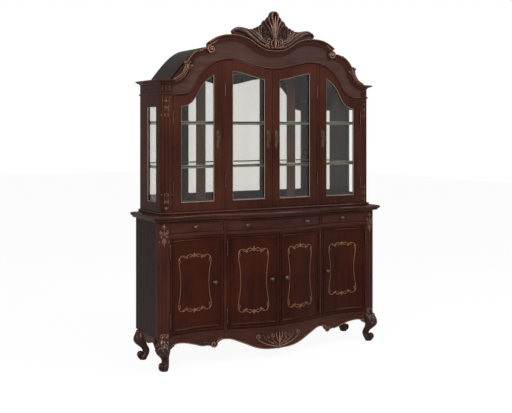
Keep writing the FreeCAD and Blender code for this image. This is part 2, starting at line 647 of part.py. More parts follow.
def upper_scroll(drop, y):
    """Top line of the middle of the pediment, from one volute over both high points to the other."""
    high = CORNICE_TOP + PEDIMENT_RISE - drop
    low = high - PEDIMENT_DIP
    peak_x = PAIR_EDGE - 45
    end_x = PAIR_EDGE + 120
    half = [
        (0, low), (peak_x * 0.25, low + PEDIMENT_DIP * 0.10), (peak_x * 0.60, high - PEDIMENT_DIP * 0.27),
        (peak_x, high), (peak_x + 100, high - 16), (end_x, high - 54)]
    points = [(-x, y, z) for x, z in reversed(half[1:])] + [(x, y, z) for x, z in half]
    return curve(points)


def lower_scroll(drop, y):
    """Top line of the scroll that climbs from the cornice to the volute, on the right."""
    end_x = PAIR_EDGE + 120 + 20
    foot = (OUTER_EDGE + 10, CORNICE_TOP - drop)
    rise = PEDIMENT_RISE - 90
    run = foot[0] - end_x
    return curve([
        (end_x, y, foot[1] + rise), (end_x + run * 0.30, y, foot[1] + rise * 0.88),
        (end_x + run * 0.58, y, foot[1] + rise * 0.52), (end_x + run * 0.74, y, foot[1] + rise * 0.17),
        (foot[0], y, foot[1])])


def band(scroll, front):
    """The moulding that stands in front of the pediment board under a scroll's top line."""
    solid = under(scroll(0.0, front), SHOULDER, front, HUTCH_FACE)
    return solid.cut(under(scroll(PEDIMENT_BAND, front - 1), SHOULDER - 1, front - 1, HUTCH_FACE + 1))


def pediment():
    board_rear = HUTCH_FACE + BOARD
    board_top = upper_scroll(6.0, HUTCH_FACE)
    whole = under(board_top, SHOULDER, HUTCH_FACE, board_rear)
    wing = under(lower_scroll(6.0, HUTCH_FACE), SHOULDER, HUTCH_FACE, board_rear)
    clear = below_arch(-TOP_GAP, HUTCH_FACE - 1, board_rear + 1)
    edge = box(-OUTER_EDGE, OUTER_EDGE, HUTCH_FACE, board_rear, SHOULDER, ROOF_TOP + 200)
    gable = bonnet_sheet(ROOF, HUTCH_FACE, board_rear, SHOULDER)
    board = whole.fuse(both(wing) + [gable]).common(edge).cut(clear).removeSplitter()
    save("pediment_board", board.Solids)

    front = HUTCH_FACE - PEDIMENT_OVERHANG
    middle = band(upper_scroll, front)
    wing = band(lower_scroll, front)
    keep = box(OUTER_EDGE, HUTCH_HALF, front - 1, HUTCH_FACE + 1, SHOULDER, CORNICE_TOP)
    volute_centre = Vector(PAIR_EDGE + 104, HUTCH_FACE, CORNICE_TOP + PEDIMENT_RISE - 96)
    volute = Part.makeCylinder(VOLUTE_RADIUS, PEDIMENT_OVERHANG + 4, volute_centre, Vector(0, -1, 0))
    moulding = middle.fuse(both(wing.cut(keep)) + both(volute))
    save("pediment_moulding", moulding.removeSplitter().Solids)

    lip = slab(hutch_plan(CORNICE_OVERHANG - 12, OUTER_EDGE), SIDE_TOP, SIDE_TOP + CORNICE / 2)
    nose = slab(hutch_plan(CORNICE_OVERHANG, OUTER_EDGE), SIDE_TOP + CORNICE / 2, CORNICE_TOP)
    save("side_cornices", both(lip.fuse(nose).removeSplitter()))


def bead():
    """A bead that follows the arch just above the doors."""
    front = HUTCH_FACE - BEAD_REACH
    strip = below_arch(-TOP_GAP - BEAD_HEIGHT, front, HUTCH_FACE)
    strip = strip.cut(below_arch(-TOP_GAP, front - 1, HUTCH_FACE + 1))
    over_doors = box(-OUTER_EDGE, OUTER_EDGE, front, HUTCH_FACE, SHOULDER, ROOF_TOP)
    save("arch_bead", strip.common(over_doors).Solids)


def crest():
    """The carved crest, as a plain plate with the outline of the carving."""
    front = HUTCH_FACE - PEDIMENT_OVERHANG + 3
    top = CORNICE_TOP + PEDIMENT_RISE - PEDIMENT_DIP + CREST_HEIGHT
    tip = CREST_HALF_WIDTH
    half = [
        (0, top), (22, top - 14), (36, top - 36), (74, top - 62), (98, top - 92), (128, top - 110),
        (180, top - 124), (250, top - 116), (tip - 20, top - 124), (tip, top - 146), (tip - 8, top - 160),
        (tip - 60, top - 186), (140, top - 225), (60, top - 262)]
    outline = half + [(-x, z) for x, z in reversed(half[1:])]
    blank = plate(outline, front, front + CREST_THICKNESS)
    seat = under(upper_scroll(-FIT, front - 1), SHOULDER, front - 1, HUTCH_FACE + 1)
    save("crest_carving", blank.cut(seat).Solids[:1])


# ---- hutch doors and shelves -----------------------------------------------------------------
def hutch_door(x0, x1):
    """A glazed door between two places on the right: stiles, rails and its pane."""
    back = HUTCH_FACE + BOARD
    bottom = DECK + DOOR_GAP
    sill = bottom + DOOR_BOTTOM_RAIL
    limit = SHOULDER + 2 * ARCH_RISE
    inner0 = x0 + DOOR_STILE
    inner1 = x1 - DOOR_STILE
    body = below_arch(0.0, HUTCH_FACE, back)
    opening = below_arch(DOOR_TOP_RAIL, HUTCH_FACE - 1, back + 1)
    members = [
        box(x0, inner0, HUTCH_FACE, back, bottom, limit).common(body),
        box(inner1, x1, HUTCH_FACE, back, bottom, limit).common(body),
        box(inner0, inner1, HUTCH_FACE, back, bottom, sill),
        box(inner0, inner1, HUTCH_FACE, back, sill, limit).common(body).cut(opening)]
    pane_front = back - 2 * GLASS
    lap = GLASS_REBATE
    pane = box(inner0 - lap, inner1 + lap, pane_front, pane_front + GLASS, sill - lap, limit)
    pane = pane.common(below_arch(DOOR_TOP_RAIL - lap, pane_front - 1, back + 1))
    lap += FIT
    rebate = box(inner0 - lap, inner1 + lap, pane_front, back, sill - lap, limit)
    rebate = rebate.common(below_arch(DOOR_TOP_RAIL - lap, pane_front - 1, back + 1))
    return [member.cut(rebate) for member in members], pane


def hutch_doors():
    hinge_heights = {"outer": (DECK + OUTER_HINGE_LOW, SHOULDER - OUTER_HINGE_DROP),
                     "middle": (DECK + MIDDLE_HINGE_LOW, SHOULDER + MIDDLE_HINGE_RISE)}
    pull_height = DECK + 431
    outer_door = (INNER_EDGE + DOOR_GAP, OUTER_EDGE - DOOR_GAP)
    middle_door = (MEETING_GAP / 2, PAIR_EDGE - DOOR_GAP)
    fixed = []
    for name, (inner, outer) in (("outer", outer_door), ("middle", middle_door)):
        frame, pane = hutch_door(inner, outer)
        leaves = [hinge(outer + DOOR_GAP / 2, HUTCH_FACE, -1, z) for z in hinge_heights[name]]
        hardware = [pull(inner + DOOR_STILE / 2, pull_height)] + [leaf[1] for leaf in leaves]
        fixed += [leaf[0] for leaf in leaves] + [mirrored(leaf[0]) for leaf in leaves]
        for side, copy in (("right", lambda piece: piece), ("left", mirrored)):
            save(side + "_" + name + "_glass_door_frame", [copy(piece) for piece in frame])
            save(side + "_" + name + "_glass_door_pane", [copy(pane)])
            save(side + "_" + name + "_glass_door_hardware", [copy(piece) for piece in hardware])
    return fixed


def shelves():
    front = HUTCH_FACE + HUTCH_POST_DEPTH + FIT
    rear = REAR - BACK_BOARD - MIRROR
    side = HUTCH_INNER - 2.0
    plates = []
    pins = []
    for height in SHELF_HEIGHTS:
        top = DECK + height
        under_face = top - SHELF_GLASS
        plates.append(box(-side, side, front, rear, under_face, top))
        for y in (front + BRACKET, rear - BRACKET):
            start = Vector(HUTCH_INNER - SHELF_PIN_LENGTH, y, under_face - SHELF_PIN_RADIUS)
            pins += both(Part.makeCylinder(SHELF_PIN_RADIUS, SHELF_PIN_LENGTH, start, Vector(1, 0, 0)))
        bracket = box(
            PAIR_EDGE + MULLION / 2 - BRACKET / 2, PAIR_EDGE + MULLION / 2 + BRACKET / 2,
            HUTCH_FACE + BOARD, front + BRACKET, under_face - 4, under_face)
        pins += both(bracket)
    save("glass_shelves", plates)
    save("shelf_supports", pins)


os.makedirs("parts", exist_ok=True)
buffet_case()
buffet_frame()
drawer_guides()
cupboard_shelves()
aprons()
legs()
cupboard_leaves = buffet_doors()
drawers()
hutch_case()
hutch_back_and_roof()
pediment()
bead()
crest()
save("fixed_hinge_leaves", cupboard_leaves + hutch_doors())
shelves()
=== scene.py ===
import bpy
import bmesh
import math
import numpy as np
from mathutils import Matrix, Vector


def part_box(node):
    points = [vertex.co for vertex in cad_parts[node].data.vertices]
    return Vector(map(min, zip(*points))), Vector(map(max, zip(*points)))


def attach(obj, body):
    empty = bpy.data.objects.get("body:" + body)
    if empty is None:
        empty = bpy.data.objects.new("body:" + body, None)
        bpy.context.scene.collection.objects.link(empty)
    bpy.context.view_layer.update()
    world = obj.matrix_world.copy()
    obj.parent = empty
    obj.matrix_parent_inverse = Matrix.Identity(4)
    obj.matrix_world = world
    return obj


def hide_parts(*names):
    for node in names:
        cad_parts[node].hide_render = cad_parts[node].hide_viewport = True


# China cabinet: a serpentine buffet under a bonnet-topped glazed hutch. Metres, +Z up, front -Y.
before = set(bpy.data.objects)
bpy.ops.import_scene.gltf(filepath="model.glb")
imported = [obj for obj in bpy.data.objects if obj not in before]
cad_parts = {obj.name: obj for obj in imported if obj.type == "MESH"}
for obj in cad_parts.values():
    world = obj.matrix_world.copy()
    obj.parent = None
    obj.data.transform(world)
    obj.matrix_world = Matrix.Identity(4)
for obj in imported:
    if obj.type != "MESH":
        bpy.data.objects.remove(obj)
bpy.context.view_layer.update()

# ---- places taken from the frame ---------------------------------------------------------------
HUTCH_HALF = float(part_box("hutch_side_frames")[1][0])
BUFFET_HALF = float(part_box("buffet_sides")[1][0])
REAR = float(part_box("hutch_back_panel")[1][1])
CASE_BOTTOM = float(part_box("buffet_sides")[0][2])
CASE_TOP = float(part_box("buffet_top")[0][2])
TOP = float(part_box("buffet_top")[1][2])
DECK = float(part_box("hutch_base_board")[1][2])
SIDE_TOP = float(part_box("side_cornices")[0][2])
CORNICE_TOP = float(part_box("side_cornices")[1][2])
HUTCH_FACE = float(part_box("pediment_board")[0][1])
CREST_TOP = float(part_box("crest_carving")[1][2])

# ---- sizes of the real piece -------------------------------------------------------------------
SIDE_EDGE = 0.36            # outer edge of the bowed middle of the buffet
BAY_EDGE = 0.717             # outer edge of the hollow side bays
BOW_FACE = -0.196
STILE_FACE = -0.133
OUTER_EDGE = 0.69           # inner edge of a hutch post
PAIR_EDGE = 0.34
SHOULDER = SIDE_TOP - 0.069  # top of an outer glass door beside its post
REED_RISE = 0.006


# ---- camera, light and studio ------------------------------------------------------------------
def camera():
    data = bpy.data.cameras.new("camera")
    data.lens = 59.8
    data.sensor_width = 36.0
    data.shift_y = -0.153
    data.clip_end = 60.0
    eye = bpy.data.objects.new("camera", data)
    eye.location = (-2.751, -4.781, 1.44)
    eye.rotation_euler = (math.radians(90.0), 0.0, math.radians(-29.395))
    bpy.context.scene.collection.objects.link(eye)
    bpy.context.scene.camera = eye


def lamp(name, place, aim, size, power):
    """A square soft box at a place, turned towards another place."""
    data = bpy.data.lights.new(name, "AREA")
    data.shape = "SQUARE"
    data.size = size
    data.energy = power
    light = bpy.data.objects.new(name, data)
    light.location = place
    away = np.array(place) - np.array(aim)
    light.rotation_euler = (
        math.acos(away[2] / np.linalg.norm(away)), 0.0, math.atan2(away[1], away[0]) + math.pi / 2)
    bpy.context.scene.collection.objects.link(light)


def linear(text):
    """An sRGB hex colour as linear red, green, blue and alpha."""
    parts = [int(text[i:i + 2], 16) / 255 for i in (1, 3, 5)]
    return tuple(c / 12.92 if c <= 0.04045 else ((c + 0.055) / 1.055) ** 2.4 for c in parts) + (1.0,)


def add(tree, kind, links=None, **settings):
    """Add a node: settings are its own fields, and links holds socket values or other nodes' outputs."""
    item = tree.nodes.new(kind)
    for field, value in settings.items():
        setattr(item, field, value)
    for socket, value in (links or {}).items():
        if isinstance(value, bpy.types.NodeSocket):
            tree.links.new(value, item.inputs[socket])
        else:
            item.inputs[socket].default_value = value
    return item


ROOM_SHINE = 0.24    # strength of the room in reflections off wood and metal; the eye and glass see 1


def studio():
    """A pale room: white to the eye, to glass and to metal, a little softer as a light."""
    world = bpy.data.worlds.new("studio")
    world.use_nodes = True
    tree = world.node_tree
    tree.nodes.clear()
    rays = add(tree, "ShaderNodeLightPath").outputs
    seen = add(tree, "ShaderNodeMath", {0: rays["Is Camera Ray"], 1: rays["Is Transmission Ray"]},
               operation="MAXIMUM")
    soft = add(tree, "ShaderNodeBackground", {"Color": linear("#fbfaf8"), "Strength": 0.62})
    shine = add(tree, "ShaderNodeBackground", {"Color": linear("#f4f2ef"), "Strength": ROOM_SHINE})
    white = add(tree, "ShaderNodeBackground", {"Color": (1, 1, 1, 1), "Strength": 1.0})
    lit = add(tree, "ShaderNodeMixShader", {0: rays["Is Glossy Ray"], 1: soft.outputs[0],
                                            2: shine.outputs[0]})
    both = add(tree, "ShaderNodeMixShader", {0: seen.outputs[0], 1: lit.outputs[0], 2: white.outputs[0]})
    add(tree, "ShaderNodeOutputWorld", {"Surface": both.outputs[0]})
    bpy.context.scene.world = world
    bpy.context.scene.view_settings.view_transform = "Standard"
    lamp("window_left", (-3.6, -3.4, 2.9), (0.0, 0.0, 1.1), 2.2, 150.0)
    lamp("window_right", (3.4, -3.6, 4.4), (0.1, 0.0, 1.0), 2.2, 110.0)
    lamp("ceiling", (0.0, -0.9, 4.6), (0.0, 0.0, 1.0), 2.6, 70.0)


# ---- surfaces worked out as arrays -------------------------------------------------------------
def sheet(points, wrap_rows=False, wrap_columns=False):
    """Quads over an array of points, rows by columns; a wrap joins the last row or column to the first."""
    rows, columns = points.shape[:2]
    index = np.arange(rows * columns).reshape(rows, columns)
    if wrap_rows:
        index = np.vstack([index, index[:1]])
    if wrap_columns:
        index = np.hstack([index, index[:, :1]])
    quads = np.stack([index[:-1, :-1], index[:-1, 1:], index[1:, 1:], index[1:, :-1]], axis=-1).reshape(-1,
                                                                                                        4)
    return points.reshape(-1, 3), quads.tolist()


def shaft(rings):
    """A closed skin over rings of points, rows by columns, with a flat face at each end."""
    points, faces = sheet(rings, wrap_columns=True)
    count = rings.shape[1]
    last = len(points) - count
    return points, faces + [list(range(count)), list(range(last, last + count))]


def shell(front, back):
    """A closed skin from a front and a back array of points over the same grid, joined round the edge."""
    rows, columns = front.shape[:2]
    points, faces = sheet(front)
    rear_points, rear_faces = sheet(back)
    shift = rows * columns
    index = np.arange(shift).reshape(rows, columns)
    rim = np.concatenate([index[0, :], index[1:, -1], index[-1, -2::-1], index[-2:0:-1, 0]])
    following = np.roll(rim, -1)
    sides = np.stack([rim, following, following + shift, rim + shift], axis=-1)
    rear = (np.array(rear_faces) + shift).tolist()
    return np.vstack([points, rear_points]), faces + rear + sides.tolist()


def spline(points, count):
    """A natural cubic curve through points, measured along its chords, as count even places."""
    points = np.asarray(points, float)
    steps = np.linalg.norm(np.diff(points, axis=0), axis=1)
    t = np.concatenate([[0.0], np.cumsum(steps)])
    n = len(t)
    a = np.eye(n)
    b = np.zeros_like(points)
    i = np.arange(1, n - 1)
    a[i, i - 1] = steps[:-1]
    a[i, i] = 2 * (steps[:-1] + steps[1:])
    a[i, i + 1] = steps[1:]
    slope = np.diff(points, axis=0) / steps[:, None]
    b[1:-1] = 6 * np.diff(slope, axis=0)
    bend = np.linalg.solve(a, b)
    x = np.linspace(0.0, t[-1], count)
    k = np.clip(np.searchsorted(t, x, side="right") - 1, 0, n - 2)
    h = steps[k][:, None]
    u = (x - t[k])[:, None]
    w = h - u
    return (bend[k] * w ** 3 + bend[k + 1] * u ** 3) / (6 * h) + (points[k] / h - bend[k] * h / 6) * w + (
        points[k + 1] / h - bend[k + 1] * h / 6) * u


def unit(vectors):
    return vectors / np.maximum(np.linalg.norm(vectors, axis=-1, keepdims=True), 1e-12)


def run(path, profile, up, closed=False):
    """A moulding: each profile point (out, forward) carried along a path, mitred at its corners.
    Out is the cross of up with the way the path goes, and forward is up itself."""
    path = np.asarray(path, float)
    profile = np.asarray(profile, float)
    up = unit(np.asarray(up, float))
    if closed:
        before = unit(path - np.roll(path, 1, axis=0))
        after = unit(np.roll(path, -1, axis=0) - path)
    else:
        steps = unit(np.diff(path, axis=0))
        before = np.vstack([steps[:1], steps])
        after = np.vstack([steps, steps[-1:]])
    side_before = unit(np.cross(up, before))
    side_after = unit(np.cross(up, after))
    mitre = (side_before + side_after) / (1 + np.sum(side_before * side_after, axis=1, keepdims=True))
    rings = path[:, None] + mitre[:, None] * profile[None, :, :1] + up * profile[None, :, 1:]
    return sheet(rings, wrap_rows=True, wrap_columns=True) if closed else shaft(rings)


def edged_board(path, profile):
    """A board whose edge is a profile of (out, height) run round an open plan path, closed at the rear."""
    path = np.asarray(path, float)
    steps = unit(np.diff(path, axis=0))
    before = np.vstack([steps[:1], steps])
    after = np.vstack([steps, steps[-1:]])
    turn = lambda v: np.stack([-v[:, 1], v[:, 0]], axis=1)
    mitre = (turn(before) + turn(after)) / (1 + np.sum(turn(before) * turn(after), axis=1, keepdims=True))
    profile = np.asarray(profile, float)
    flat = path[None] + mitre[None] * profile[:, None, :1]
    height = np.broadcast_to(profile[:, None, 1:], flat.shape[:2] + (1,))
    return shaft(np.concatenate([flat, height], axis=2))


def rod(path, radius, sides=10, flat=1.0, up=(0.0, -1.0, 0.0)):
    """A round strand along a path with a radius for each point; flat squeezes it along up."""
    path = np.asarray(path, float)
    radius = np.broadcast_to(np.asarray(radius, float), (len(path),))
    along = unit(np.gradient(path, axis=0))
    up = np.broadcast_to(np.asarray(up, float), path.shape)
    side = unit(np.cross(along, up))
    out = np.cross(side, along)
    angle = np.linspace(0, 2 * np.pi, sides, endpoint=False)[None, :, None]
    r = radius[:, None, None]
    return shaft(path[:, None] + r * (np.cos(angle) * side[:, None] + flat * np.sin(angle) * out[:, None]))


def turned(profile, base, axis, sides=20):
    """A turned shape: (distance along the axis, radius) points spun round an axis from a base point."""
    profile = np.asarray(profile, float)
    axis = unit(np.asarray(axis, float))
    side = unit(np.cross(axis, (0.12, 0.31, 0.94)))
    other = np.cross(axis, side)
    angle = np.linspace(0, 2 * np.pi, sides, endpoint=False)[None, :, None]
    rings = np.asarray(base, float) + profile[:, None, :1] * axis + profile[:, None, 1:] * (
        np.cos(angle) * side + np.sin(angle) * other)
    return shaft(rings)


def arc(a, b, radius, start, end, count=6):
    """Points of a circular arc round (a, b), with its angles in degrees."""
    t = np.radians(np.linspace(start, end, count))
    return list(zip(a + radius * np.cos(t), b + radius * np.sin(t)))


def piece(name, body, finish, shapes, stands_for=(), facing=None, crease=32.0):
    """One object from (points, faces[, gilt]) shapes; its faces are turned outwards, or towards facing."""
    start = 0
    points, faces, gilt = [], [], []
    for shape in shapes:
        points.append(np.asarray(shape[0], float))
        faces += [[v + start for v in face] for face in shape[1]]
        gilt.append(np.asarray(shape[2], float) if len(shape) > 2 else np.zeros(len(shape[0])))
        start += len(shape[0])
    mesh = bpy.data.meshes.new(name)
    mesh.from_pydata(np.vstack(points).tolist(), [], faces)
    layer = mesh.attributes.new("gilt", "FLOAT", "POINT")
    layer.data.foreach_set("value", np.concatenate(gilt).astype(np.float32))
    work = bmesh.new()
    work.from_mesh(mesh)
    bmesh.ops.remove_doubles(work, verts=work.verts, dist=2e-6)
    if facing is None:
        bmesh.ops.recalc_face_normals(work, faces=work.faces)
    else:
        total = sum((face.normal.dot(facing) * face.calc_area() for face in work.faces), 0.0)
        if total < 0:
            bmesh.ops.reverse_faces(work, faces=work.faces)
    work.to_mesh(mesh)
    work.free()
    mesh.shade_smooth()
    mesh.set_sharp_from_angle(angle=math.radians(crease))
    mesh.materials.append(finish)
    item = bpy.data.objects.new(name, mesh)
    bpy.context.scene.collection.objects.link(item)
    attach(item, body)
    if stands_for:
        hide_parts(*stands_for)
    return item


def flip(shapes):
    """The same shapes on the other side of the cabinet."""
    return [(np.asarray(s[0]) * (-1.0, 1.0, 1.0),) + tuple(s[1:]) for s in shapes]


SIDES = (("left", -1.0), ("right", 1.0))


def on_side(sign, shapes):
    return shapes if sign > 0 else flip(shapes)


# ---- finishes ----------------------------------------------------------------------------------
def new_finish(name):
    """An empty material with its output and one Principled shader."""
    finish = bpy.data.materials.new(name)
    finish.use_nodes = True
    finish.node_tree.nodes.clear()
    shader = add(finish.node_tree, "ShaderNodeBsdfPrincipled")
    add(finish.node_tree, "ShaderNodeOutputMaterial", {"Surface": shader.outputs[0]})
    return finish, finish.node_tree, shader.inputs


def lacquered_cherry(name, dark, middle, light, grain, coat=0.06):
    """Cherry stained dark red-brown under a sprayed, rubbed lacquer: soft streaks along the grain,
    fine pores that only break up the shine, and a thin glossy coat. Grain is the scale on each axis."""
    finish, tree, shader = new_finish(name)
    place = add(tree, "ShaderNodeTexCoord").outputs["Object"]
    streak = add(tree, "ShaderNodeMapping", {"Vector": place, "Scale": grain})
    figure = add(tree, "ShaderNodeTexNoise", {"Vector": streak.outputs[0], "Scale": 1.0, "Detail": 7.0,
                                              "Roughness": 0.62, "Distortion": 0.5})
    cloud = add(tree, "ShaderNodeTexNoise", {"Vector": place, "Scale": 3.2, "Detail": 2.0})
    pores = add(tree, "ShaderNodeTexNoise", {"Vector": streak.outputs[0], "Scale": 14.0, "Detail": 3.0})
    body = add(tree, "ShaderNodeMapRange", {"Value": figure.outputs[0], "From Min": 0.36, "From Max": 0.64})
    tone = add(tree, "ShaderNodeMix", {"Factor": body.outputs[0], "A": linear(dark), "B": linear(middle)},
               data_type="RGBA")
    lift = add(tree, "ShaderNodeMapRange", {"Value": cloud.outputs[0], "From Min": 0.45, "From Max": 0.75,
                                            "To Max": 0.55})
    warm = add(tree, "ShaderNodeMix", {"Factor": lift.outputs[0], "A": tone.outputs["Result"],
                                       "B": linear(light)}, data_type="RGBA")
    gloss = add(tree, "ShaderNodeMapRange", {"Value": pores.outputs[0], "From Min": 0.3, "From Max": 0.7,
                                             "To Min": 0.2, "To Max": 0.34})
    ripple = add(tree, "ShaderNodeBump", {"Height": pores.outputs[0], "Strength": 0.06, "Distance": 0.001})
    tree.links.new(warm.outputs["Result"], shader["Base Color"])
    tree.links.new(gloss.outputs[0], shader["Roughness"])
    tree.links.new(ripple.outputs[0], shader["Normal"])
    shader["Specular IOR Level"].default_value = 0.16
    shader["Specular Tint"].default_value = linear("#dba892")
    shader["Coat Weight"].default_value = coat
    shader["Coat Roughness"].default_value = 0.08
    return finish


def gilded_carving(name, wood_dark, wood_light, gold_dark, gold_light, reach):
    """Carved cherry with copper-gold wiped over its high places: the ridges carry the gold, worn in
    specks, and the hollows keep dark stain. Reach is how far down the ridges the gold goes."""
    finish, tree, shader = new_finish(name)
    place = add(tree, "ShaderNodeTexCoord").outputs["Object"]
    height = add(tree, "ShaderNodeAttribute", attribute_name="gilt").outputs["Fac"]
    speck = add(tree, "ShaderNodeTexNoise", {"Vector": place, "Scale": 160.0, "Detail": 4.0})
    cloud = add(tree, "ShaderNodeTexNoise", {"Vector": place, "Scale": 26.0, "Detail": 2.0})
    worn = add(tree, "ShaderNodeMath", {0: speck.outputs[0], 1: 0.5}, operation="SUBTRACT")
    edge = add(tree, "ShaderNodeMath", {0: worn.outputs[0], 1: 0.8, 2: height}, operation="MULTIPLY_ADD")
    gold = add(tree, "ShaderNodeMapRange", {"Value": edge.outputs[0], "From Min": 1.0 - reach,
                                            "From Max": 1.12 - reach * 0.55})
    wood = add(tree, "ShaderNodeMix", {"Factor": cloud.outputs[0], "A": linear(wood_dark),
                                       "B": linear(wood_light)}, data_type="RGBA")
    metal = add(tree, "ShaderNodeMix", {"Factor": speck.outputs[0], "A": linear(gold_dark),
                                        "B": linear(gold_light)}, data_type="RGBA")
    colour = add(tree, "ShaderNodeMix", {"Factor": gold.outputs[0], "A": wood.outputs["Result"],
                                         "B": metal.outputs["Result"]}, data_type="RGBA")
    sheen = add(tree, "ShaderNodeMath", {0: gold.outputs[0], 1: 0.55}, operation="MULTIPLY")
    gloss = add(tree, "ShaderNodeMapRange", {"Value": speck.outputs[0], "To Min": 0.26, "To Max": 0.46})
    tree.links.new(colour.outputs["Result"], shader["Base Color"])
    tree.links.new(sheen.outputs[0], shader["Metallic"])
    tree.links.new(gloss.outputs[0], shader["Roughness"])
    shader["Specular IOR Level"].default_value = 0.4
    return finish


def antique_bronze(name, dark, light, rough):
    """Cast brass browned and rubbed: brown-grey metal, darker in patches, with a soft shine."""
    finish, tree, shader = new_finish(name)
    place = add(tree, "ShaderNodeTexCoord").outputs["Object"]
    cloud = add(tree, "ShaderNodeTexNoise", {"Vector": place, "Scale": 220.0, "Detail": 4.0})
    colour = add(tree, "ShaderNodeMix", {"Factor": cloud.outputs[0], "A": linear(dark), "B": linear(light)},
                 data_type="RGBA")
    gloss = add(tree, "ShaderNodeMapRange", {"Value": cloud.outputs[0], "To Min": rough,
                                             "To Max": rough + 0.2})
    tree.links.new(colour.outputs["Result"], shader["Base Color"])
    tree.links.new(gloss.outputs[0], shader["Roughness"])
    shader["Metallic"].default_value = 1.0
    return finish


def plain_timber(name, dark, light, grain, rough):
    """Unlacquered stained timber inside the case and behind it: matt, with visible long grain."""
    finish, tree, shader = new_finish(name)
    place = add(tree, "ShaderNodeTexCoord").outputs["Object"]
    streak = add(tree, "ShaderNodeMapping", {"Vector": place, "Scale": grain})
    figure = add(tree, "ShaderNodeTexNoise", {"Vector": streak.outputs[0], "Scale": 1.0, "Detail": 8.0,
                                              "Roughness": 0.7})
    colour = add(tree, "ShaderNodeMix", {"Factor": figure.outputs[0], "A": linear(dark),
                                         "B": linear(light)}, data_type="RGBA")
    gloss = add(tree, "ShaderNodeMapRange", {"Value": figure.outputs[0], "To Min": rough,
                                             "To Max": rough + 0.15})
    tree.links.new(colour.outputs["Result"], shader["Base Color"])
    tree.links.new(gloss.outputs[0], shader["Roughness"])
    return finish


def float_glass(name, colour, rough):
    """Clear sheet glass with polished edges; the shelves are thick enough to look green."""
    finish, _, shader = new_finish(name)
    shader["Base Color"].default_value = linear(colour)
    shader["Roughness"].default_value = rough
    shader["IOR"].default_value = 1.45
    shader["Transmission Weight"].default_value = 1.0
    return finish


def silvered_mirror(name):
    """Back-silvered mirror glass: a sharp, slightly grey reflection with a faint haze."""
    finish, tree, shader = new_finish(name)
    place = add(tree, "ShaderNodeTexCoord").outputs["Object"]
    haze = add(tree, "ShaderNodeTexNoise", {"Vector": place, "Scale": 2.5, "Detail": 1.0})
    gloss = add(tree, "ShaderNodeMapRange", {"Value": haze.outputs[0], "To Min": 0.01, "To Max": 0.035})
    tree.links.new(gloss.outputs[0], shader["Roughness"])
    shader["Base Color"].default_value = linear("#dbd8d4")
    shader["Metallic"].default_value = 1.0
    return finish


UPRIGHT = (38.0, 38.0, 2.2)
LEVEL = (2.2, 38.0, 38.0)
CHERRY_UPRIGHT = lacquered_cherry("cherry_upright_grain", "#2c1611", "#3a1e18", "#48271f", UPRIGHT)
CHERRY_LEVEL = lacquered_cherry("cherry_level_grain", "#2c1711", "#3a1e18", "#49271e", LEVEL, 0.3)
CHERRY_RED = lacquered_cherry("cherry_red_field", "#260f0a", "#31140d", "#3f1d13", UPRIGHT)
CHERRY_FRIEZE = lacquered_cherry("cherry_frieze", "#33201c", "#43302c", "#513a34", LEVEL)
# the case sides and the bonnet roof get a darker copy of the same cherry: painted shade
CHERRY_SHADED_SIDE = lacquered_cherry("cherry_painted_shade_side", "#170a06", "#1f0f0a", "#28150e", UPRIGHT)
CARVED = gilded_carving("gilded_carving", "#1f0f0b", "#3b1d15", "#7f4f36", "#bd937a", 0.3)
GILT = gilded_carving("gilt_scrollwork", "#351b12", "#502e1d", "#764c31", "#a98061", 0.8)
# pale gold strands along the glass edges of the doors and sides and along the shelf edges: painted
# highlights
PAINTED_HIGHLIGHT = gilded_carving("painted_highlight_line", "#6f604e", "#8a7a66", "#948570", "#c9bda8", 0.95)
BRONZE = antique_bronze("antique_bronze", "#352a24", "#8a7565", 0.3)
HINGE_BRASS = antique_bronze("browned_hinge_brass", "#3b2c24", "#806856", 0.3)
INNER_TIMBER = plain_timber("stained_inner_timber", "#5a3220", "#835237", (30.0, 2.0, 30.0), 0.45)
BACK_TIMBER = plain_timber("stained_back_board", "#33201a", "#4b3026", (24.0, 24.0, 1.6), 0.55)
# light, warm cherry for strips on the mirror: a painted reflection of the mullions, lit warm
CHERRY_PAINTED_REFLECTION = lacquered_cherry("cherry_painted_mirror_reflection", "#4a2a1c", "#6a3c24", "#8a512f", UPRIGHT)
SHELF_EDGE = lacquered_cherry("polished_glass_edge", "#6c6d55", "#7d7e66", "#8f9079", LEVEL)
CLEAR_GLASS = float_glass("clear_float_glass", "#fdfefd", 0.0)
SHELF_GLASS = float_glass("green_shelf_glass", "#e4efe4", 0.0)
MIRROR_GLASS = silvered_mirror("silvered_mirror")


def dress(names, finish, soften=0.0):
    """Give CAD nodes their finish; soften rounds their sharp edges by that much with modifiers."""
    for name in names:
        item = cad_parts[name]
        item.data.materials.clear()
        item.data.materials.append(finish)
        if soften:
            weld = item.modifiers.new("weld", "WELD")
            weld.merge_threshold = 0.00002
            edge = item.modifiers.new("soft_edge", "BEVEL")
            edge.width = soften
            edge.segments = 2
            edge.limit_method = "ANGLE"
            edge.angle_limit = math.radians(40.0)
            edge.use_clamp_overlap = True


# ---- lines of the cabinet ----------------------------------------------------------------------
def buffet_face(x):
    """Face of the buffet: a parabola over the middle, a half sine hollow over each side bay, a flat post."""
    d = np.abs(np.asarray(x, float))
    bow = BOW_FACE + 0.063 * (d / SIDE_EDGE) ** 2
    share = np.clip((d - SIDE_EDGE) / (BAY_EDGE - SIDE_EDGE), 0, 1)
    hollow = STILE_FACE + 0.026 * np.sin(np.pi * share)
    post = STILE_FACE + 0.014 * (d - BAY_EDGE) / 0.073
    return np.where(d <= SIDE_EDGE, bow, np.where(d <= BAY_EDGE, hollow, post))


def front_places():
    """Places across the buffet from right to left, close together where the face bends."""
    half = np.concatenate([np.linspace(0, SIDE_EDGE, 22)[:-1], np.linspace(SIDE_EDGE, BAY_EDGE, 22)])
    return np.concatenate([half[::-1], -half[1:]])


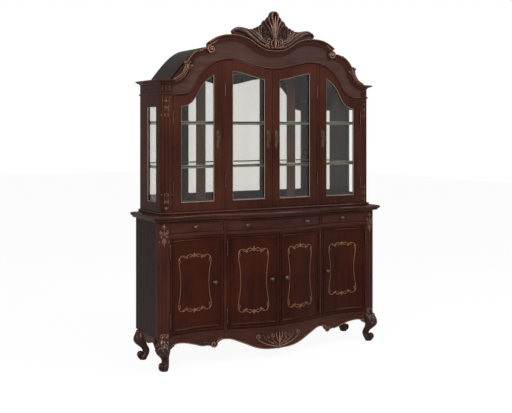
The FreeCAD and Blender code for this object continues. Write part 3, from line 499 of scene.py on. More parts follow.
def buffet_plan():
    """Plan of the buffet case from its rear right corner round the front to its rear left corner."""
    x = front_places()
    front = np.stack([x, buffet_face(x)], axis=1)
    corner = STILE_FACE + 0.014
    right = [(BUFFET_HALF, REAR), (BUFFET_HALF, corner)]
    left = [(-BUFFET_HALF, corner), (-BUFFET_HALF, REAR)]
    return np.vstack([right, front, left])


def both_ways(half, count):
    """A smooth line through points given from the middle outwards, mirrored to the left."""
    half = np.asarray(half, float)
    return spline(np.vstack([half[:0:-1] * (-1, 1), half]), count)


def arch_line(drop, count=141):
    """The line over the glass doors: flat by the posts, an ogee to a peak over each mullion, then a dip."""
    peak = SHOULDER + 0.224 - drop
    low = SHOULDER - drop
    flat = OUTER_EDGE - 0.062
    top = PAIR_EDGE - 0.022
    reach = flat - top
    return both_ways([
        (0, peak - 0.05), (top / 2, peak - 0.025), (top, peak), (top + reach * 0.31, peak - 0.224 * 0.12),
        (top + reach * 0.62, peak - 0.224 * 0.51), (top + reach * 0.82, low + 0.224 * 0.09),
        (flat, low), (OUTER_EDGE, low)], count)


def upper_line(drop, count=121):
    """Top line of the pediment between its two volutes."""
    high = CORNICE_TOP + 0.288 - drop
    low = high - 0.088
    top = PAIR_EDGE - 0.045
    return both_ways([
        (0, low), (top * 0.25, low + 0.0088), (top * 0.6, high - 0.0238), (top, high),
        (top + 0.1, high - 0.016), (PAIR_EDGE + 0.12, high - 0.054)], count)


def wing_line(drop, count=50):
    """Line of the scroll that climbs from the cornice to the right volute."""
    end = PAIR_EDGE + 0.14
    foot = (OUTER_EDGE + 0.01, CORNICE_TOP - drop)
    rise = 0.198
    reach = foot[0] - end
    return spline([
        (end, foot[1] + rise), (end + reach * 0.3, foot[1] + rise * 0.88),
        (end + reach * 0.58, foot[1] + rise * 0.52), (end + reach * 0.74, foot[1] + rise * 0.17), foot],
        count)


def upright(line, y):
    """A line of (across, height) stood up at a depth."""
    line = np.asarray(line, float)
    return np.stack([line[:, 0], np.full(len(line), y), line[:, 1]], axis=1)


def height_at(line, x):
    order = np.argsort(line[:, 0])
    return np.interp(x, line[order, 0], line[order, 1])


# ---- carving -----------------------------------------------------------------------------------
# A cut is (points, radii, lift, level, gold): a rounded ridge along a line, as high as lift times its
# radius above a level, with that much gold on its crown.
def cut(points, radii, lift=0.8, level=0.0, gold=1.0, count=18, smooth=True):
    """A ridge through points; its radii are spread evenly along it."""
    points = np.asarray(points, float)
    line = spline(points, count) if smooth and len(points) > 2 else points
    radii = np.interp(np.linspace(0, 1, len(line)), np.linspace(0, 1, len(np.atleast_1d(radii))),
                      np.atleast_1d(radii))
    return line, radii, lift, level, gold


def curl(centre, radius, start, turns, thick, gold=1.0, level=0.0, lead=()):
    """A spiral ridge that winds inwards to a round eye; start is in degrees, turns is signed."""
    t = np.linspace(0, 1, 26)
    angle = math.radians(start) + 2 * math.pi * turns * t
    reach = radius * (1 - 0.8 * t)
    line = np.stack([centre[0] + reach * np.cos(angle), centre[1] + reach * np.sin(angle)], axis=1)
    if len(lead):
        line = np.vstack([np.asarray(lead, float), line])
    eye = (np.array([centre, (centre[0] + 1e-4, centre[1])]), np.array([thick, thick]) * 1.15, 1.0, level,
           gold)
    return [(line, np.interp(np.linspace(0, 1, len(line)), [0, 0.3, 1], [thick * 0.7, thick, thick * 0.55]),
             0.9, level, gold), eye]


def frond(base, tip, bow, width, lobes, thick, gold=0.9, level=0.0):
    """An acanthus frond: a vein bowed to one side, with pairs of lobes that curve out and forward."""
    base, tip = np.asarray(base, float), np.asarray(tip, float)
    along = tip - base
    length = np.linalg.norm(along)
    along = along / length
    side = np.array([-along[1], along[0]])
    middle = (base + tip) / 2 + side * bow
    cuts = [cut([base, middle, tip], [thick, thick * 1.1, thick * 0.35], 0.9, level + thick * 0.35, gold)]
    for share in np.linspace(0.08, 0.78, lobes):
        bend = middle * 2 - (base + tip) / 2
        root = (1 - share) ** 2 * base + 2 * share * (1 - share) * bend + share ** 2 * tip
        reach = width * math.sin(math.pi * (0.18 + 0.72 * share)) ** 0.8
        for hand in (-1, 1):
            elbow = root + side * hand * reach * 0.62 + along * reach * 0.2
            end = root + side * hand * reach + along * reach * 0.95
            cuts.append(cut([root, elbow, end], [thick * 0.9, thick * 0.95, thick * 0.3], 0.8, level,
                            gold * 0.8, 9))
    return cuts


def rosette(centre, radius, petals, gold=1.0, level=0.0):
    """Round petals about an eye."""
    cuts = [(np.array([centre, (centre[0] + 1e-4, centre[1])]), np.full(2, radius * 0.34), 1.0,
             level + radius * 0.1, gold)]
    for turn in np.arange(petals) * 2 * math.pi / petals + math.pi / 2:
        way = np.array([math.cos(turn), math.sin(turn)])
        cuts.append((np.array([centre + way * radius * 0.36, centre + way * radius * 0.74]),
                     np.array([radius * 0.22, radius * 0.32]), 0.8, level, gold * 0.9))
    return cuts


def mirror(cuts, about=0.0):
    return [(line * (-1, 1) + (2 * about, 0),) + tuple(rest) for line, *rest in cuts]


def placed(cuts, across, up, size=1.0, turn=0.0):
    """Cuts scaled, turned by degrees and moved."""
    c, s = math.cos(math.radians(turn)), math.sin(math.radians(turn))
    spin = np.array([[c, s], [-s, c]])
    return [((line @ spin) * size + (across, up), radii * size, lift, level * size, gold)
            for line, radii, lift, level, gold in cuts]


def relief(across, up, cuts):
    """Height and gold of a carving over a grid: the highest ridge wins. A ridge stands lift times the
    square root of radius squared less distance squared, and falls away evenly beyond its edge."""
    a, b = np.meshgrid(across, up, indexing="ij")
    height = np.full(a.shape, -0.02)
    gold = np.zeros(a.shape)
    for line, radii, lift, level, shine in cuts:
        reach = radii.max() + 0.004
        low, high = line.min(axis=0) - reach, line.max(axis=0) + reach
        i0, i1 = np.searchsorted(across, (low[0], high[0]))
        j0, j1 = np.searchsorted(up, (low[1], high[1]))
        if i1 <= i0 or j1 <= j0:
            continue
        spot = np.stack([a[i0:i1, j0:j1], b[i0:i1, j0:j1]], axis=-1)[:, :, None, :]
        begin, step = line[:-1], np.diff(line, axis=0)
        share = np.clip(np.sum((spot - begin) * step, axis=-1) / np.maximum(np.sum(step * step, axis=1),
                                                                            1e-14), 0, 1)
        away = np.linalg.norm(spot - begin - share[..., None] * step, axis=-1)
        radius = radii[:-1] + (radii[1:] - radii[:-1]) * share
        inside = np.sqrt(np.maximum(radius ** 2 - away ** 2, 0.0)) * lift + level
        field = np.where(away < radius, inside, np.minimum(level, 0.0) - (away - radius) * 1.2)
        best = np.argmax(field, axis=-1)[..., None]
        top = np.take_along_axis(field, best, -1)[..., 0]
        crown = 1 - np.clip(np.take_along_axis(away / np.maximum(radius, 1e-6), best, -1)[..., 0], 0,
                            1) ** 2
        block = height[i0:i1, j0:j1]
        won = top > block
        block[won] = top[won]
        gold[i0:i1, j0:j1][won] = (crown * shine)[won]
    return height, gold


def carving(cuts, step, seat, sink=0.0015):
    """A thin carved skin seated on a surface: seat turns (across, up, height) into a place.
    It keeps only what stands above the surface, and dips just under it round its edge."""
    low = np.min([line.min(axis=0) - radii.max() for line, radii, *rest in cuts], axis=0) - step
    high = np.max([line.max(axis=0) + radii.max() for line, radii, *rest in cuts], axis=0) + step
    across = np.arange(low[0], high[0] + step, step)
    up = np.arange(low[1], high[1] + step, step)
    height, gold = relief(across, up, cuts)
    kept = height > 0.0
    spread = kept.copy()
    for way in ((1, 0), (-1, 0), (0, 1), (0, -1), (1, 1), (-1, -1), (1, -1), (-1, 1)):
        spread |= np.roll(kept, way, axis=(0, 1))
    a, b = np.meshgrid(across, up, indexing="ij")
    points = seat(a, b, np.maximum(height, -sink)).reshape(-1, 3)
    index = np.arange(a.size).reshape(a.shape)
    quads = np.stack([index[:-1, :-1], index[:-1, 1:], index[1:, 1:], index[1:, :-1]], axis=-1).reshape(-1,
                                                                                                        4)
    whole = spread.ravel()[quads].all(axis=1)
    quads = quads[whole]
    used, fresh = np.unique(quads, return_inverse=True)
    return points[used], fresh.reshape(-1, 4).tolist(), gold.ravel()[used]


def flat_seat(y):
    """Seat on an upright plane that faces front."""
    return lambda a, b, h: np.stack([a, y - h, b], axis=-1)


def buffet_seat(back=0.0):
    """Seat on the serpentine face."""
    return lambda a, b, h: np.stack([a, buffet_face(a) + back - h, b], axis=-1)


# ---- the buffet --------------------------------------------------------------------------------
def build_buffet_boards():
    """The overhanging top with its rounded nose over a cove, and the lipped board under the hutch."""
    nose = [(-0.01, CASE_TOP), (0.02, CASE_TOP), (0.0235, CASE_TOP + 0.003)]
    nose += arc(0.0335, CASE_TOP + 0.003, 0.01, 180, 105, 5)
    nose += [(0.0335, CASE_TOP + 0.0135)] + arc(0.029, CASE_TOP + 0.0225, 0.009, -80, 80, 9)
    nose += [(0.024, TOP - 0.001), (0.021, TOP)]
    piece("buffet_top_moulded", "cabinet", CHERRY_LEVEL, [edged_board(buffet_plan(), nose)],
          ["buffet_top"])
    low = TOP + 0.0002
    lip = [(0.012, low), (0.0125, low + 0.004)] + arc(0.0065, low + 0.01, 0.0065, -60, 60, 7)
    lip += [(0.0035, low + 0.0165), (0.0, DECK - 0.001), (-0.002, DECK)]
    plan = [(HUTCH_HALF, REAR), (HUTCH_HALF, HUTCH_FACE + 0.025), (OUTER_EDGE, HUTCH_FACE)]
    plan += [(x, HUTCH_FACE) for x in np.linspace(0.6, -0.6, 9)]
    plan += [(-OUTER_EDGE, HUTCH_FACE), (-HUTCH_HALF, HUTCH_FACE + 0.025), (-HUTCH_HALF, REAR)]
    piece("hutch_base_moulded", "cabinet", CHERRY_LEVEL, [edged_board(plan, lip)], ["hutch_base_board"])
    x = front_places()
    band = arc(0.0, 0.0, 0.0045, -90, 90, 7)
    line = np.stack([x, buffet_face(x), np.full(len(x), CASE_TOP - 0.009)], axis=1)
    piece("bead_under_top", "cabinet", CHERRY_LEVEL, [run(line, band, (0, 0, 1))], ())


def reeded_shaft(start, end, depth, low, high, stops, rise):
    """A corner post: three half-round reeds on its face, which run out at their stops, and eased arrises."""
    start, end = np.array(start, float), np.array(end, float)
    along = end - start
    width = np.linalg.norm(along)
    along /= width
    out = np.array([along[1], -along[0]])
    s = np.linspace(0, 1, 61)
    margin = 0.008 / width
    place = np.clip((s - margin) / (1 - 2 * margin), 0, 1) * 3
    reed = np.sqrt(np.maximum(1 - (2 * (place % 1.0) - 1) ** 2, 0)) * (place > 0) * (place < 3)
    ease = 0.002 * ((s < 0.012) | (s > 0.988))
    z = np.unique(np.concatenate([[low, high], np.linspace(low, high, 12)] + [
        np.linspace(a, b, 9) for a, b in ((stops[0] - 0.012, stops[0] + 0.012),
                                          (stops[1] - 0.012, stops[1] + 0.012))]))
    z = z[(z >= low) & (z <= high)]
    carved = np.clip((z - stops[0]) / 0.012, 0, 1) * np.clip((stops[1] - z) / 0.012, 0, 1)
    carved = np.sqrt(carved * (2 - carved))
    face = start + s[:, None] * width * along
    lift = rise * reed[None] * carved[:, None] - ease[None]
    front = face[None] + lift[..., None] * out
    rear = np.array([[end[0], start[1] + depth], [start[0], start[1] + depth]])
    loop = np.concatenate([front, np.broadcast_to(rear, (len(z), 2, 2))], axis=1)
    return shaft(np.concatenate([loop, np.broadcast_to(z[:, None, None], loop.shape[:2] + (1,))], axis=2))


def build_posts():
    """Reeded corner posts of the buffet and of the hutch; the hutch reeds start again above the bead."""
    buffet = reeded_shaft((BAY_EDGE, STILE_FACE), (BUFFET_HALF, STILE_FACE + 0.014), 0.048,
                          CASE_BOTTOM, CASE_TOP, (CASE_BOTTOM + 0.04, CASE_TOP - 0.028), 0.0032)
    piece("buffet_posts_reeded", "cabinet", CHERRY_UPRIGHT, [buffet] + flip([buffet]),
          ["buffet_corner_posts"])
    face = ((OUTER_EDGE, HUTCH_FACE), (HUTCH_HALF, HUTCH_FACE + 0.025), 0.06)
    lower = reeded_shaft(*face, DECK, SHOULDER, (DECK + 0.018, SHOULDER - 0.006), REED_RISE)
    upper = reeded_shaft(*face, SHOULDER, SIDE_TOP, (SHOULDER + 0.018, SIDE_TOP - 0.006), REED_RISE)
    piece("hutch_posts_reeded", "cabinet", CHERRY_UPRIGHT, [lower, upper] + flip([lower, upper]),
          ["hutch_corner_posts"])


def panel_places(low, high, borders, middle):
    """Places across a framed panel: the border places from each edge, and an even middle."""
    borders = np.asarray(borders)
    inner = np.linspace(low + borders[-1], high - borders[-1], middle)[1:-1]
    return np.concatenate([low + borders, inner, (high - borders)[::-1]])


LIP = np.array([
    (0.0, 0.003), (0.0008, 0.0012), (0.003, 0.0), (0.013, 0.0), (0.0145, 0.0014), (0.016, 0.0048),
    (0.0175, 0.0058), (0.0188, 0.0036), (0.021, 0.0012), (0.024, 0.0003), (0.027, 0.0012), (0.0296, 0.004),
    (0.0312, 0.0068), (0.033, 0.0078), (0.036, 0.008)])


def framed_board(x0, x1, z0, z1, thickness, lip=LIP, size=1.0, back_y=None):
    """A board on the serpentine with a moulded lip: the distance to the nearest edge gives the depth of
    the moulding, so it mitres itself in the corners."""
    borders = lip[:, 0] * size
    x = panel_places(x0, x1, borders, 14)
    z = panel_places(z0, z1, borders, 4)
    a, b = np.meshgrid(x, z, indexing="ij")
    edge = np.minimum(np.minimum(a - x0, x1 - a), np.minimum(b - z0, z1 - b))
    depth = np.interp(edge, borders, lip[:, 1])
    front = np.stack([a, buffet_face(a) + depth, b], axis=-1)
    rear = buffet_face(a) + thickness if back_y is None else np.full(a.shape, back_y)
    return shell(front, np.stack([a, rear, b], axis=-1))


def cartouche(centre, half_width, low, high, waist):
    """The gilt line frame on a cupboard door: drawn in at the waist, rounded out at its corners, with a
    scrolled break and a flower at the middle of its top and of its bottom."""
    x, w = centre, half_width
    mid, half = (low + high) / 2, (high - low) / 2
    cuts = []
    side = [(w * 0.5, half * 0.915), (w * 0.66, half * 0.955), (w * 0.86, half * 0.935),
            (w * 0.985, half * 0.84),
            (w * 0.995, half * 0.7), (w * 0.93, half * 0.48), (w - waist, half * 0.18),
            (w - waist, -half * 0.18),
            (w * 0.95, -half * 0.52), (w * 1.01, -half * 0.72), (w * 1.0, -half * 0.85),
            (w * 0.88, -half * 0.94), (w * 0.66, -half * 0.955), (w * 0.5, -half * 0.905)]
    cuts.append(cut(side, [0.0012, 0.002, 0.0018, 0.0016, 0.0016, 0.0018, 0.002, 0.0012], 0.9, 0, 1, 90))
    for sign in (1, -1):
        top = sign * half
        cuts += curl((w * 0.455, top * 0.885), 0.008, 20 * sign, -0.9 * sign, 0.0018)
        cuts.append(cut([(w * 0.72, top * 0.95), (w * 0.6, top * 0.885), (w * 0.44, top * 0.93),
                         (w * 0.26, top * 0.985),
                         (w * 0.1, top * 0.945)], [0.0012, 0.002, 0.0018, 0.0024, 0.0014], 0.9, 0, 1, 24))
        cuts.append(cut([(w * 0.95, top * 0.86), (w * 0.9, top * 0.76), (w * 0.97, top * 0.7)],
                        [0.0019, 0.0016, 0.001], 0.9, 0, 1, 9))
        cuts.append(cut([(w * 0.34, top * 0.9), (w * 0.2, top * 0.9), (w * 0.08, top * 0.965)],
                        [0.0012, 0.0022, 0.0016], 0.9, 0, 1, 12))
    cuts += mirror(cuts)
    for sign in (1, -1):
        cuts += rosette(np.array((0.0, sign * half * 0.945)), 0.0115, 5, 1.0, 0.001)
        cuts += [cut([(0.0, sign * half * 0.98), (0.0, sign * half * 1.035)], [0.0045, 0.0018], 0.9, 0, 1)]
    return placed(cuts, x, mid)


def turned_knob(x, z, size=1.0):
    """A bronze knob: a small rose plate, a waisted neck and a flattened ball with a raised rim."""
    profile = np.array([
        (-0.001, 0.0), (-0.001, 0.01), (0.0012, 0.0104), (0.0026, 0.0085), (0.0034, 0.0058),
        (0.007, 0.0045),
        (0.01, 0.0052), (0.0125, 0.009), (0.015, 0.0122), (0.018, 0.0136), (0.0212, 0.0132),
        (0.0236, 0.0112),
        (0.0246, 0.0088), (0.0243, 0.0066), (0.0256, 0.0048), (0.0262, 0.0024), (0.0264, 0.0)]) * size
    return turned(profile, (x, float(buffet_face(x)), z), (0.0, -1.0, 0.0), 24)


def barrel_hinge(x, y, z, length):
    """A hinge barrel with rings between its knuckles and a turned finial at each end."""
    half = length / 2
    profile = [(-half - 0.012, 0.0), (-half - 0.011, 0.002), (-half - 0.008, 0.0034),
               (-half - 0.004, 0.0022), (-half - 0.002, 0.004), (-half, 0.0044)]
    for k in range(5):
        a = -half + length * k / 5
        b = a + length / 5
        profile += [(a + 0.0006, 0.004), (b - 0.0012, 0.004), (b - 0.0006, 0.0036)]
    profile += [(half, 0.0044), (half + 0.002, 0.004), (half + 0.004, 0.0022), (half + 0.008, 0.0034),
                (half + 0.011, 0.002), (half + 0.012, 0.0)]
    return turned(profile, (x, y, z), (0.0, 0.0, 1.0), 14)


def build_cupboards():
    """Serpentine cupboard doors with moulded lips, gilt line frames, knobs and hinge barrels."""
    low, high = CASE_BOTTOM + 0.019, float(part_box("right_middle_cupboard_door")[1][2])
    heights = (low + 0.084, high - 0.084)
    layout = (("side", SIDE_EDGE + 0.002, BAY_EDGE - 0.002, 0.543, 0.108, 0.328, 0.678, 0.013),
              ("middle", 0.0015, PAIR_EDGE - 0.001, 0.17, 0.098, 0.294, 0.7, 0.013))
    for part, inner, outer, centre, half, bottom, top, waist in layout:
        knob_x = inner + 0.053
        axis = outer + 0.001
        face = float(min(buffet_face(outer + 0.002), buffet_face(outer - 0.004))) - 0.0043
        door = framed_board(inner, outer, low, high, 0.02)
        frame_cuts = cartouche(centre, half, bottom, top, waist)
        gilt = carving(frame_cuts, 0.0013, buffet_seat(0.008), 0.001)
        metal = [turned_knob(knob_x, (low + high) / 2)] + [barrel_hinge(axis, face, z,
                                                                        0.066) for z in heights]
        for side, sign in SIDES:
            body = side + "_" + part + "_cupboard_door"
            piece(body + "_moulded", body, CHERRY_RED, on_side(sign, [door]), [body])
            piece(body + "_cartouche", body, GILT, on_side(sign, [gilt]), (), (0, -1, 0))
            piece(body + "_knob_and_hinges", body, BRONZE, on_side(sign, metal),
                  [side + "_" + part + "_cupboard_hardware"])


DRAWER_LIP = np.array([
    (0.0, 0.0035), (0.0007, 0.0014), (0.0022, 0.0002), (0.004, 0.0), (0.0056, 0.001), (0.0066, 0.0026),
    (0.008, 0.003), (0.01, 0.003)])


def build_drawers():
    """Drawer fronts bent to the serpentine, with a small rounded lip and turned knobs."""
    low, high = (float(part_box("middle_drawer_front")[k][2]) for k in (0, 1))
    back = float(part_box("middle_drawer_front")[1][1])
    middle = float(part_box("middle_drawer_front")[1][0])
    outer0, outer1 = (float(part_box("right_drawer_front")[k][0]) for k in (0, 1))
    front = framed_board(-middle, middle, low, high, 0.0, DRAWER_LIP, back_y=back)
    piece("middle_drawer_front_moulded", "middle_drawer", CHERRY_LEVEL, [front], ["middle_drawer_front"])
    knobs = [turned_knob(0.217, (low + high) / 2)]
    piece("middle_drawer_knobs_turned", "middle_drawer", BRONZE, knobs + flip(knobs),
          ["middle_drawer_knobs"])
    front = framed_board(outer0, outer1, low, high, 0.0, DRAWER_LIP, back_y=back)
    for side, sign in SIDES:
        body = side + "_drawer"
        piece(body + "_front_moulded", body, CHERRY_LEVEL, on_side(sign, [front]), [body + "_front"])
        piece(body + "_knob_turned", body, BRONZE, on_side(sign, [turned_knob(0.539, (low + high) / 2)]),
              [body + "_knob"])


def apron_edge():
    """Lower edge of the front apron on the right, from the middle to the post."""
    return spline([
        (0.0, 0.058), (0.06, 0.06), (0.097, 0.063), (0.137, 0.071), (0.177, 0.084), (0.215, 0.101),
        (0.253, 0.117), (0.289, 0.132), (0.319, 0.142), (0.349, 0.144), (0.372, 0.14), (0.388, 0.13),
        (0.397, 0.116), (0.412, 0.106), (0.428, 0.104), (0.444, 0.109), (0.46, 0.112), (0.486, 0.111),
        (0.525, 0.121), (0.565, 0.133), (0.607, 0.144), (0.642, 0.149), (0.671, 0.149), (0.693, 0.14),
        (0.707, 0.128), (0.717, 0.122)], 120)


def build_aprons():
    """The front apron with its gilt edge, volutes and carved middle, and the two side aprons."""
    edge = apron_edge()
    x = np.unique(np.concatenate([-edge[:, 0], edge[:, 0]]))
    lower = np.interp(np.abs(x), edge[:, 0], edge[:, 1])
    share = np.array([0.0, 0.04, 0.1, 0.5, 1.0])
    z = lower[:, None] + (CASE_BOTTOM - lower)[:, None] * share
    a = np.broadcast_to(x[:, None], z.shape)
    ease = np.array([0.0022, 0.0004, 0.0, 0.0, 0.0])
    front = np.stack([a, buffet_face(a) + 0.002 + ease, z], axis=-1)
    rear = np.stack([a, buffet_face(a) + 0.024, z], axis=-1)
    piece("front_apron_shaped", "cabinet", CHERRY_LEVEL, [shell(front, rear)], ["front_apron"])

    line = edge[edge[:, 0] < 0.392]
    bead = [rod(np.stack([line[:, 0], buffet_face(line[:, 0]) + 0.003, line[:, 1] + 0.002], axis=1),
                np.interp(line[:, 0], [0, 0.02, 0.35, 0.392], [0.0024, 0.0034, 0.0036, 0.0032]), 8)]
    line = edge[edge[:, 0] > 0.44]
    bead.append(rod(np.stack([line[:, 0], buffet_face(line[:, 0]) + 0.003, line[:, 1] + 0.002], axis=1),
                    np.interp(line[:, 0], [0.44, 0.52, 0.7, 0.717], [0.003, 0.0032, 0.0032, 0.0024]), 8))
    bead = [shape + (np.full(len(shape[0]), 0.85),) for shape in bead]
    scrolls = curl((0.42, 0.119), 0.021, 150, 1.35, 0.0058, 1.0, 0.001,
                   [(0.366, 0.148), (0.384, 0.146), (0.397, 0.137)])
    scrolls += frond((0.44, 0.118), (0.52, 0.138), 0.006, 0.012, 3, 0.0032, 0.7)
    scrolls += frond((0.398, 0.146), (0.33, 0.158), -0.006, 0.01, 3, 0.003, 0.7)
    scrolls += curl((0.7, 0.142), 0.011, 200, -1.2, 0.0036, 0.9)
    side = carving(scrolls, 0.0015, buffet_seat(0.002))
    half = [cut([(0.004, 0.072), (0.04, 0.078), (0.09, 0.093), (0.128, 0.112), (0.15, 0.13)],
                [0.004, 0.0055, 0.005, 0.004, 0.0034], 0.9, 0.002, 1.0, 30)]
    half += curl((0.143, 0.142), 0.016, -50, 1.2, 0.0046, 1.0, 0.001)
    half += [cut([(0.006, 0.08), (0.04, 0.092), (0.078, 0.112), (0.104, 0.138), (0.112, 0.15)],
                 [0.003, 0.0046, 0.0046, 0.004, 0.002], 0.9, 0.001, 0.9, 26)]
    half += [cut([(0.008, 0.088), (0.03, 0.1), (0.05, 0.122), (0.058, 0.148)],
                 [0.003, 0.0048, 0.0046, 0.002], 0.9, 0.001, 0.9, 20)]
    half += curl((0.046, 0.14), 0.014, 10, 1.25, 0.0034, 0.95, 0.001)
    half += curl((0.079, 0.134), 0.01, 30, 1.2, 0.003, 0.9, 0.001)
    half += [cut([(0.004, 0.092), (0.014, 0.12), (0.022, 0.15), (0.018, 0.162)],
                 [0.003, 0.005, 0.0046, 0.0022], 0.9, 0.002, 1.0, 18)]
    whole = half + mirror(half) + [cut([(0.0, 0.072), (0.0, 0.11), (0.0, 0.16)], [0.006, 0.0085, 0.004],
                                       0.9, 0.003)]
    whole += [cut([(-0.016, 0.068), (0.0, 0.062), (0.016, 0.068)], [0.003, 0.006, 0.003], 0.9, 0.002)]
    middle = carving(whole, 0.0016, buffet_seat(0.002))
    piece("front_apron_gilding", "cabinet", GILT, bead + flip(bead), ())
    piece("front_apron_carving", "cabinet", CARVED, [side, middle] + flip([side]), (),
          (0, -1, 0))

    wave = spline([(-0.06, 0.128), (-0.035, 0.15), (-0.005, 0.15), (0.04, 0.134), (0.07, 0.138),
                   (0.11, 0.149), (0.145, 0.142), (0.165, 0.12)], 50)
    share = np.array([0.0, 0.06, 1.0])
    z = wave[:, 1:] + (CASE_BOTTOM - wave[:, 1:]) * share
    y = np.broadcast_to(wave[:, :1], z.shape)
    outside = np.stack([np.broadcast_to(BUFFET_HALF - 0.002 - np.array([0.002, 0, 0]), z.shape), y, z],
                       axis=-1)
    inside = outside - (0.022, 0.0, 0.0)
    board = shell(outside, inside)
    piece("side_aprons_shaped", "cabinet", CHERRY_LEVEL, [board] + flip([board]), ["side_aprons"])


# ---- legs --------------------------------------------------------------------------------------
def cabriole(x, y, direction, height=CASE_BOTTOM):
    """A carved cabriole leg: rings whose centre and radius follow the knee, ankle and toe; an acanthus
    leaf on the knee made by ridges that slant down to its rib, and a scroll rolled up at the toe."""
    direction = unit(np.array(direction, float))
    share = np.array([1.0, 0.92, 0.8, 0.66, 0.56, 0.46, 0.38, 0.28, 0.18, 0.1, 0.04, 0.0])
    reach = np.array([12, 20, 31, 36, 31, 17, 3, -3, 4, 14, 18, 18]) * 0.001
    wide = np.array([36, 39, 43, 44, 39, 30, 24, 22, 24, 27, 26, 20]) * 0.001
    deep = np.array([34, 36, 40, 40, 35, 27, 22, 21, 23, 25, 24, 18]) * 0.001
    s = np.linspace(1.0, 0.0, 90)
    reach, wide, deep = (np.interp(s, share[::-1], v[::-1]) for v in (reach, wide, deep))
    for _ in range(3):
        reach, wide, deep = (np.convolve(np.pad(v, 2, mode="edge"), np.ones(5) / 5,
                                         "valid") for v in (reach, wide, deep))
    angle = np.linspace(-np.pi, np.pi, 96, endpoint=False)
    t, a = np.meshgrid(s, angle, indexing="ij")
    square = (np.abs(np.cos(a)) ** 2.6 + np.abs(np.sin(a)) ** 2.6) ** (-1 / 2.6)
    corner = 0.5 + 0.5 * np.clip((t - 0.55) / 0.4, 0, 1)
    base = 1 + (square - 1) * corner * 0.6
    spread = np.interp(t, [0.2, 0.34, 0.5, 0.66, 0.8, 0.93, 1.0], [0.0, 0.35, 0.75, 1.35, 1.9, 2.2, 2.2])
    inside = np.clip((spread - np.abs(a)) / 0.22, 0, 1)
    edge = spread * (0.9 + 0.1 * np.cos(46 * t))
    leaf = np.clip((edge - np.abs(a)) / 0.2, 0, 1) * inside
    vein = 0.5 + 0.5 * np.cos(9.5 * np.abs(a) + 30.0 * t)
    rib = np.exp(-(a / 0.13) ** 2)
    carved = leaf * (0.35 + 0.65 * vein ** 0.8)
    shape = 0.0042 * np.maximum(carved, rib * inside) * np.interp(t, [0.2, 0.4, 0.9, 1.0],
                                                                  [0.2, 0.7, 1.0, 0.4])
    across = np.array([-direction[1], direction[0]])
    along = (np.cos(a) * (deep[:, None] * base + shape) + reach[:, None])[..., None] * direction
    sideways = (np.sin(a) * (wide[:, None] * base + shape))[..., None] * across
    plan = np.array([x, y]) + along + sideways
    points, faces = shaft(np.concatenate([plan, (t * height)[..., None]], axis=2))
    gold = (np.maximum(vein ** 1.5 * leaf, 0.9 * rib * inside) * 0.78).ravel()
    limbs = [(points, faces, gold)]
    u = np.linspace(0, 1, 34)
    turn = math.radians(-70) + 2 * math.pi * 1.15 * u
    roll = 0.019 * (1 - 0.8 * u)
    hub = np.array([x, y, 0.0]) + np.append(direction * 0.03, 0.0285)
    for hand in (-1, 0, 1):
        out = np.append(across * hand * 0.0165, 0.0)
        path = hub + out + (roll * np.cos(turn))[:, None] * np.append(direction, 0.0) + (
            (roll * np.sin(turn))[:, None] * np.array([0.0, 0.0, 1.0]))
        thick = np.interp(u, [0, 0.3, 1.0], [0.006, 0.0085, 0.0045])
        strand = rod(path, thick, 10, 1.0, np.append(across, 0.0))
        limbs.append(strand + (np.full(len(strand[0]), 0.62 if hand else 0.5),))
    return limbs


def knee_scrolls(x, y, direction):
    """Scrolls that step down the corner on to the knee: two small bosses, then a pair of curls."""
    direction = unit(np.array(direction, float))
    across = np.array([-direction[1], direction[0]])
    strands = []
    for height, reach, radius in ((0.203, 0.038, 0.0095), (0.172, 0.046, 0.017)):
        t = np.linspace(-np.pi / 2, np.pi / 2, 15)
        ring = np.stack([radius * 1.25 * np.sin(t), radius * np.cos(t)], axis=1)
        ball = turned(ring, np.array([x, y, height]) + np.append(direction * reach, 0.0),
                      np.append(across, 0.0), 22)
        ridge = np.repeat(0.35 + 0.6 * np.cos(3.0 * np.pi * ring[:, 0] / radius) ** 2, 22)
        strands.append(ball + (ridge,))
    for hand in (-1, 1):
        u = np.linspace(0, 1, 30)
        turn = math.radians(110) + 2 * math.pi * 1.2 * u
        roll = 0.015 * (1 - 0.78 * u)
        hub = np.array([x, y, 0.15]) + np.append(direction * 0.052 + across * hand * 0.03, 0.0)
        path = hub + (roll * np.cos(turn) * hand)[:, None] * np.append(across, 0.0) + (
            (roll * np.sin(turn))[:, None] * np.array([0.0, 0.0, 1.0])) + (u * 0.01)[:,
                None] * np.append(direction, 0.0)
        strand = rod(path, np.interp(u, [0, 0.4, 1], [0.004, 0.0068, 0.0042]), 10, 1.0,
                     np.append(direction, 0.0))
        strands.append(strand + (np.full(len(strand[0]), 0.72),))
    return strands


def build_legs():
    """Carved cabriole legs, turned outwards at the front corners and to the sides at the rear."""
    place = (BUFFET_HALF - 0.052, STILE_FACE + 0.026)
    front = cabriole(*place, (0.707, -0.707)) + knee_scrolls(*place, (0.707, -0.707))
    piece("front_legs_carved", "cabinet", CARVED, front + flip(front), ["front_legs"])
    place = (BUFFET_HALF - 0.046, REAR - 0.052)
    rear = cabriole(*place, (0.97, 0.24)) + knee_scrolls(*place, (0.97, 0.24))
    piece("rear_legs_carved", "cabinet", CARVED, rear + flip(rear), ["rear_legs"])


# ---- the hutch ---------------------------------------------------------------------------------
GLAZING = [(0.0075, -0.0005), (0.007, 0.0016), (0.0055, 0.0024), (0.0035, 0.0024), (0.0015, 0.0012),
           (0.0, -0.002), (-0.0015, -0.006), (-0.0016, -0.012), (0.003, -0.012), (0.004, -0.002)]
# GLINT is the profile of a pale strand painted as the highlight on a glass edge
GLINT = arc(-0.001, -0.0036, 0.0019, 0, 315, 8)


